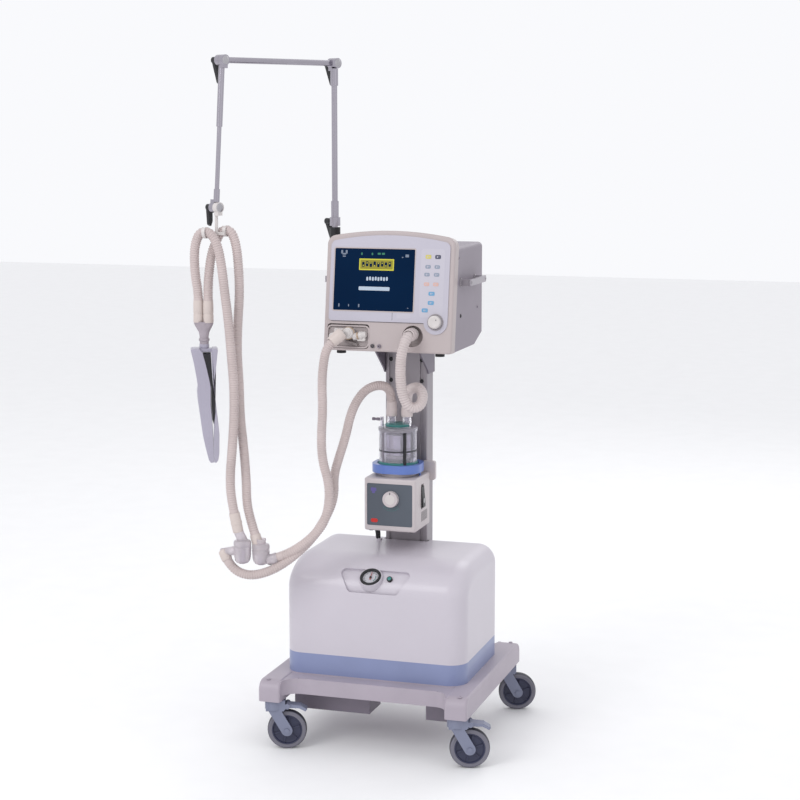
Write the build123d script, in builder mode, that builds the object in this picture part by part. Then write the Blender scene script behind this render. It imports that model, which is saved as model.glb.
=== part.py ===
"""Intensive-care ventilator on a compressor trolley: millimetres, +Z up, origin on the floor under the
middle of the trolley, front towards -Y, the viewer's right towards +X."""
import math
import os

from build123d import *

os.makedirs("parts", exist_ok=True)

# Casters: 100 mm wheels that trail to one side at rest
WHEEL_RADIUS = 50.0
WHEEL_WIDTH = 26.0
CASTER_X = 240.0
CASTER_Y = 242.0
CASTER_ANGLE = 17.5
TRAIL = 32.0
AXLE_RADIUS = 6.0
SWIVEL_RADIUS = 6.0
RUNNING_GAP = 0.05

# Chassis
CHASSIS_HALF = 272.0
BEAM_WIDTH = 57.0
BEAM_BOTTOM = 128.0
RAIL_BOTTOM = 140.0
CHASSIS_TOP = 182.0
RAIL_FRONT = 220.0
NOTCH_RADIUS = 40.0

# Blue band and compressor cover
COVER_HALF = 237.5
COVER_FRONT = -176.0
COVER_REAR = 172.0
BAND_TOP = 235.0
COVER_TOP = 480.0
CORNER = 46.0
WALL = 3.5
NOSE_Y = -56.0
NOSE_Z = 400.0
NOTCH_HALF = 60.5
NOTCH_FRONT = 106.5

# Gauge panel sunk into the front-top blend of the cover
RECESS_TILT = 45.0
GAUGE_TILT = 36.0
GAUGE_CENTRE = (-10.0, -161.0, 443.5)
GAUGE_RADIUS = 27.0
RECESS_DEPTH = 7.0

# Column
COLUMN_FRONT = 110.0
COLUMN_DEPTH = 54.0
COLUMN_HALF = 57.0
COLUMN_TOP = 990.0
GROOVE_DEPTH = 3.8

# Main unit
UNIT_BOTTOM = 1000.0
UNIT_HALF = 169.0
CASE_HALF = 166.0
CASE_TOP = 1262.0
CASE_REAR = 245.0
UNIT_FRONT = -60.0
LEAN = 8.0
BEZEL_DEPTH = 38.0
SCREEN_CENTRE = (-40.0, 181.0)
SCREEN_SIZE = (214.0, 159.0)
KNOB_CENTRE = (126.0, 79.0)

# Humidifier
CHAMBER_Y = 38.0
HUMID_FRONT = -35.0
HUMID_REAR = 98.0
HUMID_HALF = 69.5
HUMID_BOTTOM = 533.0
HUMID_TOP = 670.0
HEATER_THICKNESS = 7.0

# Support arm: it lies in one upright plane through the post and the hanger
POST_X = -190.0
POST_Y = 95.0
ARM_HEIGHT = 1722.0
BOOM_LENGTH = 383.0
HANGER_REACH = 408.0
HANGER_HEIGHT = 1367.0
TUBE_RADIUS = 7.5
KNUCKLE_RADIUS = 13.0
BOLT_RADIUS = 3.0

# Breathing hoses
HOSE_RADIUS = 12.0
DRY_HOSE_RADIUS = 13.5
LEAD_RADIUS = 3.5


def save(piece, name):
    """Label a finished piece and write it."""
    piece.part.label = name
    export_step(piece.part, f"parts/{name}.step")


def turned(x, y):
    """A direction in plan, x to the caster's trailing side and y away from the front."""
    angle = math.radians(CASTER_ANGLE)
    return (
        x * math.cos(angle) - y * math.sin(angle),
        x * math.sin(angle) + y * math.cos(angle),
        0,
    )


# ---------------------------------------------------------------- casters
CORNERS = {
    "front_left": (-CASTER_X, -CASTER_Y),
    "front_right": (CASTER_X, -CASTER_Y),
    "rear_left": (-CASTER_X, CASTER_Y),
    "rear_right": (CASTER_X, CASTER_Y),
}
CHEEK_GAP = WHEEL_WIDTH / 2 + 2
CHEEK = 5.0
FORK_TOP = 127.5
FORK_FOOT = 104.0
PEDAL_PIVOT = (33.0, 113.0)


def side_plane(x, y, offset):
    """Upright plane of a caster, its X the trailing direction, shifted towards the front."""
    return Plane(origin=(x, y, 0), x_dir=turned(1, 0), z_dir=turned(0, -1)).offset(offset)


def caster_fork(x, y, braked):
    """Swivel stem, bearing housing and two slanted cheeks, with the axle bolt as a solid of its own."""
    leg_rise = 112 - WHEEL_RADIUS
    leg_run = TRAIL + 4
    with BuildPart() as fork:
        with BuildSketch(Plane.XY.offset(FORK_FOOT)):
            with Locations(Plane(origin=(x, y, 0), x_dir=turned(1, 0), z_dir=(0, 0, 1))):
                Circle(24)
                with Locations((10, 0)):
                    Rectangle(36, 2 * (CHEEK_GAP + CHEEK))
        extrude(amount=FORK_TOP - FORK_FOOT)
        with BuildSketch(Plane.XY.offset(FORK_TOP)):
            with Locations((x, y)):
                Circle(SWIVEL_RADIUS)
        extrude(amount=33)
        for offset in (-CHEEK_GAP - CHEEK, CHEEK_GAP):
            with BuildSketch(side_plane(x, y, offset)):
                with Locations(((TRAIL - 4) / 2, (112 + WHEEL_RADIUS) / 2)):
                    SlotCenterToCenter(
                        math.hypot(leg_rise, leg_run), 28, rotation=-math.degrees(math.atan2(leg_rise, leg_run))
                    )
                with Locations((2, 114)):
                    Rectangle(46, 26)
                if braked:
                    with Locations(PEDAL_PIVOT):
                        Circle(7)
                with Locations((TRAIL, WHEEL_RADIUS)):
                    Circle(AXLE_RADIUS + RUNNING_GAP, mode=Mode.SUBTRACT)
                if braked:
                    with Locations(PEDAL_PIVOT):
                        Circle(BOLT_RADIUS + RUNNING_GAP, mode=Mode.SUBTRACT)
            extrude(amount=CHEEK)
        with BuildSketch(side_plane(x, y, 0)):
            with Locations((TRAIL, WHEEL_RADIUS)):
                Circle(WHEEL_RADIUS + 4)
        extrude(amount=CHEEK_GAP, both=True, mode=Mode.SUBTRACT)
        if braked:
            with BuildSketch(side_plane(x, y, 0)):
                with Locations(PEDAL_PIVOT):
                    Circle(8)
            extrude(amount=CHEEK_GAP, both=True, mode=Mode.SUBTRACT)
        with BuildSketch(side_plane(x, y, 0)):
            with Locations((TRAIL, WHEEL_RADIUS)):
                Circle(AXLE_RADIUS)
        extrude(amount=CHEEK_GAP + CHEEK + 4, both=True)
    return fork


def caster_wheel(x, y):
    """Hub with its bonded tread: one turned profile about the axle."""
    hub_plane = Plane(
        origin=(x + TRAIL * turned(1, 0)[0], y + TRAIL * turned(1, 0)[1], WHEEL_RADIUS),
        x_dir=turned(0, -1),
        z_dir=turned(-1, 0),
    )
    half = WHEEL_WIDTH / 2
    with BuildPart() as wheel:
        with BuildSketch(hub_plane):
            with BuildLine():
                Polyline(
                    (-half, AXLE_RADIUS + RUNNING_GAP),
                    (-half, 15),
                    (-half + 4, 18),
                    (-half + 4, 34),
                    (-half, 37),
                    (-half, 44),
                )
                ThreePointArc((-half, 44), (0, WHEEL_RADIUS), (half, 44))
                Polyline(
                    (half, 44),
                    (half, 37),
                    (half - 4, 34),
                    (half - 4, 18),
                    (half, 15),
                    (half, AXLE_RADIUS + RUNNING_GAP),
                    (-half, AXLE_RADIUS + RUNNING_GAP),
                )
            make_face()
        revolve(axis=Axis(hub_plane.origin, hub_plane.x_dir))
    return wheel


def brake_pedal(x, y):
    """Pressed foot lever that hangs on a pin between the fork's cheeks."""
    px, pz = PEDAL_PIVOT
    with BuildPart() as pedal:
        with BuildSketch(side_plane(x, y, 0)):
            with BuildLine():
                Polyline((px, pz - 5), (px + 30, pz - 6), (px + 46, pz - 14), (px + 50, pz - 9))
                Polyline((px + 50, pz - 9), (px + 34, pz + 1), (px, pz + 5), (px, pz - 5))
            make_face()
        extrude(amount=CHEEK_GAP - 0.5, both=True)
        with BuildSketch(side_plane(x, y, 0)):
            with Locations(PEDAL_PIVOT):
                Circle(5.5)
        extrude(amount=CHEEK_GAP - 0.5, both=True)
        with BuildSketch(side_plane(x, y, 0)):
            with Locations(PEDAL_PIVOT):
                Circle(BOLT_RADIUS)
        extrude(amount=CHEEK_GAP + CHEEK, both=True)
    return pedal


for corner, (corner_x, corner_y) in CORNERS.items():
    has_brake = corner.startswith("front")
    save(caster_fork(corner_x, corner_y, has_brake), f"caster_fork_{corner}")
    save(caster_wheel(corner_x, corner_y), f"caster_wheel_{corner}")
    if has_brake:
        save(brake_pedal(corner_x, corner_y), f"brake_pedal_{corner}")

# ---------------------------------------------------------------- chassis
with BuildPart() as chassis:
    for beam_x in (-CHASSIS_HALF, CHASSIS_HALF - BEAM_WIDTH):
        with BuildSketch(Plane.YZ.offset(beam_x)) as beam_side:
            with Locations((0, (BEAM_BOTTOM + CHASSIS_TOP) / 2)):
                Rectangle(2 * CHASSIS_HALF, CHASSIS_TOP - BEAM_BOTTOM)
            fillet(beam_side.vertices().group_by(Axis.Y)[-1], 26)
        extrude(amount=BEAM_WIDTH)
    beam_rims = chassis.faces().filter_by(Axis.X).edges()
    fillet(beam_rims.filter_by(lambda edge: edge.center().Z > BEAM_BOTTOM + 1), 6)
    with BuildSketch(Plane.XY.offset(RAIL_BOTTOM)):
        Rectangle(2 * (CHASSIS_HALF - BEAM_WIDTH) + 16, 2 * RAIL_FRONT)
        inner = CHASSIS_HALF - BEAM_WIDTH
        for side_x in (-1, 1):
            for side_y in (-1, 1):
                with Locations((side_x * (inner - NOTCH_RADIUS / 2 + 4), side_y * (RAIL_FRONT + NOTCH_RADIUS / 2))):
                    Rectangle(NOTCH_RADIUS + 8, NOTCH_RADIUS)
                with Locations((side_x * (inner - NOTCH_RADIUS), side_y * (RAIL_FRONT + NOTCH_RADIUS))):
                    Circle(NOTCH_RADIUS, mode=Mode.SUBTRACT)
    extrude(amount=CHASSIS_TOP - RAIL_BOTTOM - 2)
    with BuildSketch(Plane.XY.offset(RAIL_BOTTOM)):
        RectangleRounded(400, 380, 20)
    extrude(amount=32, mode=Mode.SUBTRACT)
    with BuildSketch(Plane.XY.offset(CHASSIS_TOP - 3)):
        RectangleRounded(2 * COVER_HALF + 6, COVER_REAR - COVER_FRONT + 6, CORNER)
    extrude(amount=3)
    with BuildSketch(Plane.XY.offset(BEAM_BOTTOM)):
        with Locations(*CORNERS.values()):
            Circle(SWIVEL_RADIUS + RUNNING_GAP)
    extrude(amount=34, mode=Mode.SUBTRACT)
save(chassis, "chassis")

with BuildPart() as underframe_boxes:
    for low_x, high_x in ((-223.0, -20.0), (130.0, 223.0)):
        with BuildSketch(Plane.XY.offset(77)):
            with Locations(((low_x + high_x) / 2, -95)):
                Rectangle(high_x - low_x, 90)
        extrude(amount=50.5)
        with BuildSketch(Plane.XY.offset(127.5)):
            with Locations(((max(low_x, -192) + min(high_x, 192)) / 2, -95)):
                Rectangle(min(high_x, 192) - max(low_x, -192), 80)
        extrude(amount=44.5)
save(underframe_boxes, "underframe_boxes")

# ---------------------------------------------------------------- band and cover
MID_Y = (COVER_FRONT + COVER_REAR) / 2
with BuildPart() as base_band:
    with BuildSketch(Plane.XY.offset(CHASSIS_TOP)):
        with Locations((0, MID_Y)):
            RectangleRounded(2 * COVER_HALF, COVER_REAR - COVER_FRONT, CORNER)
            RectangleRounded(
                2 * COVER_HALF - 10, COVER_REAR - COVER_FRONT - 10, CORNER - 5, mode=Mode.SUBTRACT
            )
        with Locations((0, COVER_REAR)):
            Rectangle(2 * NOTCH_HALF, 60, mode=Mode.SUBTRACT)
    extrude(amount=BAND_TOP - CHASSIS_TOP)
save(base_band, "base_band")


def cover_block(inset):
    """The cover's outer form, or the same form shrunk by inset on every side but the open bottom."""
    front = COVER_FRONT + inset
    rear = COVER_REAR - inset
    top = COVER_TOP - inset
    rear_round = 52 - inset
    with BuildPart() as block:
        with BuildSketch(Plane.YZ.offset(-COVER_HALF + inset)):
            with BuildLine():
                Line((front, BAND_TOP), (front, NOSE_Z))
                EllipticalCenterArc((NOSE_Y, NOSE_Z), NOSE_Y - front, top - NOSE_Z, 90, arc_size=90)
                Line((NOSE_Y, top), (rear - rear_round, top))
                RadiusArc((rear - rear_round, top), (rear, top - rear_round), rear_round)
                Polyline((rear, top - rear_round), (rear, BAND_TOP), (front, BAND_TOP))
            make_face()
        extrude(amount=2 * (COVER_HALF - inset))
        sides = block.faces().filter_by(Axis.X).edges()
        fillet(sides.filter_by(lambda edge: edge.center().Z > BAND_TOP + 1), CORNER - inset)
    return block.part


def tilted_plane(centre, tilt):
    """Plane facing up and to the front, tilted from the horizontal."""
    angle = math.radians(tilt)
    return Plane(origin=centre, x_dir=(1, 0, 0), z_dir=(0, -math.sin(angle), math.cos(angle)))


def recess_prism(grow):
    """Wide-topped outline of the gauge panel, as a prism square to its tilted plane."""
    with BuildPart() as prism:
        with BuildSketch(tilted_plane((0, -159, 443), RECESS_TILT).offset(-45)) as outline:
            Polygon(
                (-101 - grow, 22 + grow),
                (-65 - grow, -40 - grow),
                (65 + grow, -40 - grow),
                (101 + grow, 22 + grow),
                align=None,
            )
            fillet(outline.vertices(), 14 + grow)
        extrude(amount=90)
    return prism.part


gauge_plane = tilted_plane(GAUGE_CENTRE, GAUGE_TILT)
button_plane = tilted_plane((39, -156.5, 439.5), 48)
pad_backing = recess_prism(WALL) - cover_block(RECESS_DEPTH + WALL)
hollow_form = cover_block(WALL) - pad_backing
recess_cut = recess_prism(0) - cover_block(RECESS_DEPTH)
with BuildPart() as notch_wall:
    with BuildSketch(Plane.XY.offset(BAND_TOP)):
        with Locations((0, (NOTCH_FRONT + COVER_REAR) / 2)):
            Rectangle(2 * NOTCH_HALF + 2 * WALL, COVER_REAR - NOTCH_FRONT + 2 * WALL)
    extrude(amount=COVER_TOP - BAND_TOP)
hollow_form = hollow_form - notch_wall.part
with BuildPart() as compressor_cover:
    add(cover_block(0))
    add(recess_cut, mode=Mode.SUBTRACT)
    add(hollow_form, mode=Mode.SUBTRACT)
    with BuildSketch(Plane.XY.offset(BAND_TOP)):
        with Locations((0, (NOTCH_FRONT + COVER_REAR) / 2 + 10)):
            Rectangle(2 * NOTCH_HALF, COVER_REAR - NOTCH_FRONT + 20)
    extrude(amount=COVER_TOP - BAND_TOP, mode=Mode.SUBTRACT)
    with BuildSketch(gauge_plane.offset(-24)):
        Circle(GAUGE_RADIUS + 3)
    extrude(amount=22.5)
    with BuildSketch(gauge_plane.offset(-40)):
        Circle(24.3)
    extrude(amount=40, mode=Mode.SUBTRACT)
    with BuildSketch(gauge_plane.offset(-4.4)):
        Circle(GAUGE_RADIUS + 0.5)
    extrude(amount=30, mode=Mode.SUBTRACT)
    with BuildSketch(button_plane.offset(-20)):
        Circle(7.3)
    extrude(amount=40, mode=Mode.SUBTRACT)
    with BuildSketch(Plane.XY.offset(COVER_TOP - 1)):
        with Locations((-68, 88)):
            Circle(7.5)
    extrude(amount=6)
save(compressor_cover, "compressor_cover")

with BuildPart() as pressure_gauge:
    with BuildSketch(gauge_plane.offset(-34)):
        Circle(24)
    extrude(amount=34)
    with BuildSketch(gauge_plane.offset(-4)):
        Circle(GAUGE_RADIUS)
    extrude(amount=4)
    with BuildSketch(gauge_plane.offset(-5)):
        Circle(20.5)
    extrude(amount=6, mode=Mode.SUBTRACT)
    with BuildSketch(gauge_plane.offset(-5)):
        Circle(1)
    extrude(amount=2)
save(pressure_gauge, "pressure_gauge")

with BuildPart() as gauge_needle:
    with BuildSketch(gauge_plane.offset(-2.6)):
        Circle(3)
        with BuildLine():
            Polyline((-1.2, 0), (-0.4, 17), (0.4, 17), (1.2, 0), (1.6, -7), (-1.6, -7), close=True)
        make_face()
    extrude(amount=1)
    with BuildSketch(gauge_plane.offset(-3.5)):
        Circle(1 + RUNNING_GAP)
    extrude(amount=1.4, mode=Mode.SUBTRACT)
save(gauge_needle, "gauge_needle")

with BuildPart() as compressor_button:
    with BuildSketch(button_plane.offset(-9)):
        Circle(7)
    extrude(amount=12)
    fillet(compressor_button.edges().filter_by(GeomType.CIRCLE).group_by(Axis.Z)[-1], 1)
save(compressor_button, "compressor_button")

# ---------------------------------------------------------------- compressor inside the cover
PUMP_Y = -80.0
with BuildPart() as compressor_pump:
    with BuildSketch(Plane.XY.offset(CHASSIS_TOP)):
        with Locations((0, PUMP_Y)):
            with GridLocations(220, 80, 2, 2):
                Circle(13)
    extrude(amount=24)
    with BuildSketch(Plane.XY.offset(CHASSIS_TOP + 24)):
        with Locations((0, PUMP_Y)):
            RectangleRounded(270, 120, 10)
    extrude(amount=5)
    with BuildSketch(Plane.YZ.offset(-85)):
        with Locations((PUMP_Y, CHASSIS_TOP + 80)):
            Circle(50)
        with Locations((PUMP_Y, CHASSIS_TOP + 44)):
            Rectangle(60, 32)
    extrude(amount=170)
    with BuildSketch(Plane.XY.offset(CHASSIS_TOP + 50)):
        with Locations((-104, PUMP_Y), (104, PUMP_Y)):
            Rectangle(40, 76)
    extrude(amount=110)
    with BuildSketch(Plane.XY.offset(CHASSIS_TOP + 160)):
        with Locations((-104, PUMP_Y), (104, PUMP_Y)):
            Rectangle(52, 84)
    extrude(amount=14)
save(compressor_pump, "compressor_pump")

TANK_Y = 48.0
TANK_Z = 244.0
TANK_HALF = 150.0
with BuildPart() as air_reservoir:
    with BuildSketch(Plane(origin=(-TANK_HALF, TANK_Y, TANK_Z), x_dir=(0, 1, 0), z_dir=(1, 0, 0))):
        Circle(44)
    extrude(amount=2 * TANK_HALF)
    fillet(air_reservoir.edges().filter_by(GeomType.CIRCLE), 26)
    with BuildSketch(Plane.XY.offset(CHASSIS_TOP)):
        with Locations((-95, TANK_Y), (95, TANK_Y)):
            Rectangle(16, 64)
    extrude(amount=36)
save(air_reservoir, "air_reservoir")

# ---------------------------------------------------------------- column and bracket
COLUMN_Y = COLUMN_FRONT + COLUMN_DEPTH / 2
with BuildPart() as column:
    with BuildSketch(Plane.XY.offset(CHASSIS_TOP)):
        with Locations((0, COLUMN_Y)):
            RectangleRounded(2 * COLUMN_HALF, COLUMN_DEPTH, 3)
            with GridLocations(84, COLUMN_DEPTH, 2, 2):
                Rectangle(9, 2 * GROOVE_DEPTH, mode=Mode.SUBTRACT)
            RectangleRounded(54, 38, 4, mode=Mode.SUBTRACT)
    extrude(amount=COLUMN_TOP - CHASSIS_TOP)
save(column, "column")

with BuildPart() as unit_bracket:
    with BuildSketch(Plane.XY.offset(COLUMN_TOP)):
        with Locations((0, 125)):
            RectangleRounded(150, 210, 6)
    extrude(amount=UNIT_BOTTOM - COLUMN_TOP)
    for gusset_x in (-COLUMN_HALF - 4.3, COLUMN_HALF + 0.3):
        with BuildSketch(Plane.YZ.offset(gusset_x)):
            Polygon((30, COLUMN_TOP), (164, COLUMN_TOP), (164, 925), (112, 925), (100, 937), align=None)
        extrude(amount=4)
save(unit_bracket, "unit_bracket")

# ---------------------------------------------------------------- main unit
face_angle = math.radians(LEAN)
face_plane = Plane(
    origin=(0, UNIT_FRONT, UNIT_BOTTOM),
    x_dir=(1, 0, 0),
    z_dir=(0, -math.cos(face_angle), math.sin(face_angle)),
)


def case_block(inset):
    """Outer form of the case behind the bezel, or the same form shrunk by inset."""
    start = UNIT_FRONT + BEZEL_DEPTH / math.cos(face_angle)
    top = CASE_TOP - inset
    bottom = UNIT_BOTTOM + inset
    rear = CASE_REAR - inset
    with BuildPart() as block:
        with BuildSketch(Plane.YZ.offset(-CASE_HALF + inset)):
            with BuildLine():
                Polyline(
                    (start + math.tan(face_angle) * inset, bottom),
                    (start + math.tan(face_angle) * (top - UNIT_BOTTOM), top),
                    (rear, top),
                    (rear, 1026 + inset / 2),
                    (170 - inset / 2, bottom),
                    close=True,
                )
            make_face()
        extrude(amount=2 * (CASE_HALF - inset))
        long_edges = block.edges().filter_by(Axis.Y).group_by(Axis.Z)[-1]
        fillet(long_edges, 12 - inset)
    return block.part


with BuildPart() as unit_case:
    add(case_block(0))
    add(case_block(2.5), mode=Mode.SUBTRACT)
    with BuildSketch(face_plane.offset(-BEZEL_DEPTH - 4)):
        with Locations((0, 130)):
            Rectangle(2 * CASE_HALF - 20, 230)
    extrude(amount=4, mode=Mode.SUBTRACT)
save(unit_case, "unit_case")

with BuildPart() as unit_bezel:
    with BuildSketch(face_plane.offset(-BEZEL_DEPTH)) as bezel_outline:
        with BuildLine():
            Polyline((-UNIT_HALF, 289), (-UNIT_HALF, 0), (UNIT_HALF, 0), (UNIT_HALF, 289))
            ThreePointArc((UNIT_HALF, 289), (0, 306), (-UNIT_HALF, 289))
        make_face()
        fillet(bezel_outline.vertices().group_by(Axis.Y)[-1], 24)
        fillet(bezel_outline.vertices().group_by(Axis.Y)[0], 8)
    extrude(amount=BEZEL_DEPTH)
    fillet(unit_bezel.faces().sort_by(Axis.Y)[0].edges(), 5)
    with BuildSketch(face_plane.offset(-BEZEL_DEPTH)):
        with Locations((0, 183)):
            RectangleRounded(2 * UNIT_HALF - 10, 196, 15)
    extrude(amount=BEZEL_DEPTH - 4, mode=Mode.SUBTRACT)
    with BuildSketch(face_plane.offset(-30)):
        with Locations((-104, 37)):
            RectangleRounded(112, 62, 8)
        with Locations((67, 42)):
            Circle(27)
    extrude(amount=32, mode=Mode.SUBTRACT)
    with BuildSketch(face_plane.offset(-6)):
        with Locations(KNOB_CENTRE):
            Circle(BOLT_RADIUS + RUNNING_GAP)
    extrude(amount=8, mode=Mode.SUBTRACT)
    with BuildSketch(face_plane.offset(-BEZEL_DEPTH)):
        with Locations(KNOB_CENTRE):
            Circle(12)
    extrude(amount=BEZEL_DEPTH - 4, mode=Mode.SUBTRACT)
    with BuildSketch(face_plane):
        with Locations((-37, 14), (-19, 14)):
            Circle(4.5)
            Circle(2, mode=Mode.SUBTRACT)
    extrude(amount=5)
    split(bisect_by=Plane.XY.offset(UNIT_BOTTOM), keep=Keep.TOP)
save(unit_bezel, "unit_bezel")

with BuildPart() as display_panel:
    with BuildSketch(face_plane) as panel_outline:
        with BuildLine():
            Polyline((-157, 277), (-157, 76), (157, 76), (157, 277))
            ThreePointArc((157, 277), (0, 294), (-157, 277))
        make_face()
        fillet(panel_outline.vertices().group_by(Axis.Y)[-1], 16)
        fillet(panel_outline.vertices().group_by(Axis.Y)[0].sort_by(Axis.X)[0], 8)
        with Locations(KNOB_CENTRE):
            Circle(31)
        with Locations(SCREEN_CENTRE):
            RectangleRounded(*SCREEN_SIZE, 3, mode=Mode.SUBTRACT)
        with Locations(KNOB_CENTRE):
            Circle(14, mode=Mode.SUBTRACT)
    extrude(amount=2.5)
save(display_panel, "display_panel")

with BuildPart() as screen:
    with BuildSketch(face_plane):
        with Locations(SCREEN_CENTRE):
            RectangleRounded(SCREEN_SIZE[0] - 0.4, SCREEN_SIZE[1] - 0.4, 2.8)
    extrude(amount=1.6)
save(screen, "screen")

KEY_ROWS = ((242, (101, 126)), (217, (101, 125)), (197.5, (99, 124)), (173.5, (99, 123)))
SINGLE_KEYS = ((113, 150), (112, 127), (97, 108))
with BuildPart() as membrane_keys:
    with BuildSketch(face_plane.offset(2.5)):
        for key_height, key_places in KEY_ROWS:
            for key_x in key_places:
                with Locations((key_x, key_height)):
                    RectangleRounded(15, 10, 3)
        with Locations(*SINGLE_KEYS):
            RectangleRounded(17, 10, 3)
    extrude(amount=0.7)
save(membrane_keys, "membrane_keys")

with BuildPart() as knob_shaft:
    with BuildSketch(face_plane.offset(-20)):
        with Locations(KNOB_CENTRE):
            Circle(BOLT_RADIUS)
    extrude(amount=33)
    with BuildSketch(face_plane.offset(-8)):
        with Locations(KNOB_CENTRE):
            Circle(8)
    extrude(amount=2.5)
save(knob_shaft, "knob_shaft")

with BuildPart() as control_knob:
    with BuildSketch(face_plane.offset(4.2)):
        with Locations(KNOB_CENTRE):
            Circle(17)
    extrude(amount=14, taper=5)
    fillet(control_knob.faces().sort_by(Axis.Y)[0].edges(), 2)
    with BuildSketch(face_plane.offset(4.2)):
        with Locations(KNOB_CENTRE):
            Circle(BOLT_RADIUS + RUNNING_GAP)
    extrude(amount=9, mode=Mode.SUBTRACT)
save(control_knob, "control_knob")

VALVE_PORT = Vector(-118, -104, 1036)
VALVE_OUT = Vector(-136, -120, 1018)
valve_port_plane = Plane(origin=VALVE_PORT, z_dir=(VALVE_PORT - VALVE_OUT).normalized())
with BuildPart() as expiratory_valve:
    with BuildSketch(face_plane.offset(-29.5)):
        with Locations((-104, 36)):
            RectangleRounded(106, 48, 10)
    extrude(amount=26)
    with BuildSketch(face_plane.offset(-5)):
        with Locations((-68, 44)):
            Circle(15)
    extrude(amount=19)
    with BuildSketch(face_plane.offset(-5)):
        with Locations((-124, 48)):
            RectangleRounded(30, 16, 4)
    extrude(amount=14)
    with BuildSketch(face_plane.offset(-5)):
        with Locations((-99, 44)):
            Circle(14)
    extrude(amount=30)
    with BuildSketch(valve_port_plane):
        Circle(14)
    extrude(amount=32)
save(expiratory_valve, "expiratory_valve")

DRY_START = Vector(67, -70, 1047)
with BuildPart() as inspiratory_port:
    with BuildSketch(Plane(origin=DRY_START, x_dir=(1, 0, 0), z_dir=(0, 1, 0))):
        Circle(11)
        Circle(8.5, mode=Mode.SUBTRACT)
    extrude(amount=38)
    with BuildSketch(Plane(origin=DRY_START + Vector(0, 10, 0), x_dir=(1, 0, 0), z_dir=(0, 1, 0))):
        Circle(16)
        Circle(8.5, mode=Mode.SUBTRACT)
    extrude(amount=8)
save(inspiratory_port, "inspiratory_port")

with BuildPart() as unit_feet:
    with BuildSketch(Plane.XY.offset(COLUMN_TOP)):
        with Locations((0, 66)):
            with GridLocations(262, 186, 2, 2):
                Circle(12)
    extrude(amount=UNIT_BOTTOM - COLUMN_TOP)
save(unit_feet, "unit_feet")

HANDLE_Z = 1172.0
with BuildPart() as side_handles:
    for side in (-1, 1):
        with BuildSketch(Plane.XY.offset(HANDLE_Z - 8)):
            with Locations((side * (CASE_HALF + 26), 105)):
                RectangleRounded(7, 150, 3)
            with Locations((side * (CASE_HALF + 13.5), 38), (side * (CASE_HALF + 13.5), 172)):
                Rectangle(27, 10)
        extrude(amount=16)
save(side_handles, "side_handles")

OXYGEN_RADIUS = 7.14
AIR_RADIUS = 9.53
PIN_RADIUS = 3.0
rear_plane = Plane(origin=(0, CASE_REAR, 0), x_dir=(-1, 0, 0), z_dir=(0, 1, 0))
INLET_Z = 1080.0
with BuildPart() as rear_inlets:
    for inlet_x, inlet_radius in ((90, OXYGEN_RADIUS), (40, AIR_RADIUS)):
        with BuildSketch(rear_plane):
            with Locations((inlet_x, INLET_Z)):
                RegularPolygon(inlet_radius + 5, 6)
        extrude(amount=8)
        with BuildSketch(rear_plane):
            with Locations((inlet_x, INLET_Z)):
                Circle(inlet_radius)
        extrude(amount=24)
    with BuildSketch(rear_plane):
        with Locations((-70, INLET_Z)):
            RectangleRounded(58, 32, 3)
            Rectangle(28, 20, mode=Mode.SUBTRACT)
    extrude(amount=12)
    with BuildSketch(rear_plane):
        with Locations((-125, INLET_Z)):
            Circle(7)
    extrude(amount=4)
    with BuildSketch(rear_plane):
        with Locations((-125, INLET_Z)):
            Circle(PIN_RADIUS)
    extrude(amount=16)
save(rear_inlets, "rear_inlets")

with BuildPart() as gas_module:
    with BuildSketch(Plane.XY.offset(UNIT_BOTTOM + 2.5)):
        with Locations((-60, 90)):
            RectangleRounded(130, 150, 5)
    extrude(amount=60)
    with BuildSketch(Plane.XY.offset(UNIT_BOTTOM + 62.5)):
        with Locations((-100, 60), (-60, 60), (-20, 60)):
            Circle(14)
    extrude(amount=34)
save(gas_module, "gas_module")

with BuildPart() as control_board:
    with BuildSketch(Plane.XY.offset(UNIT_BOTTOM + 150)):
        with Locations((0, 125)):
            Rectangle(240, 160)
    extrude(amount=1.6)
    with BuildSketch(Plane.XY.offset(UNIT_BOTTOM + 151.6)):
        with Locations((0, 125)):
            with GridLocations(70, 50, 3, 3):
                Rectangle(24, 24)
    extrude(amount=4)
    with BuildSketch(Plane.XY.offset(UNIT_BOTTOM + 2.5)):
        with Locations((70, 125), (100, 70), (100, 158)):
            Circle(4)
    extrude(amount=147.5)
save(control_board, "control_board")

# ---------------------------------------------------------------- humidifier
with BuildPart() as humidifier_bracket:
    with BuildSketch(Plane.XZ.offset(-HUMID_REAR)):
        with Locations((0, 620)):
            RectangleRounded(100, 130, 6)
        with Locations((64, 672)):
            RectangleRounded(36, 50, 6)
    extrude(amount=-(COLUMN_FRONT - HUMID_REAR))
save(humidifier_bracket, "humidifier_bracket")

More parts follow.
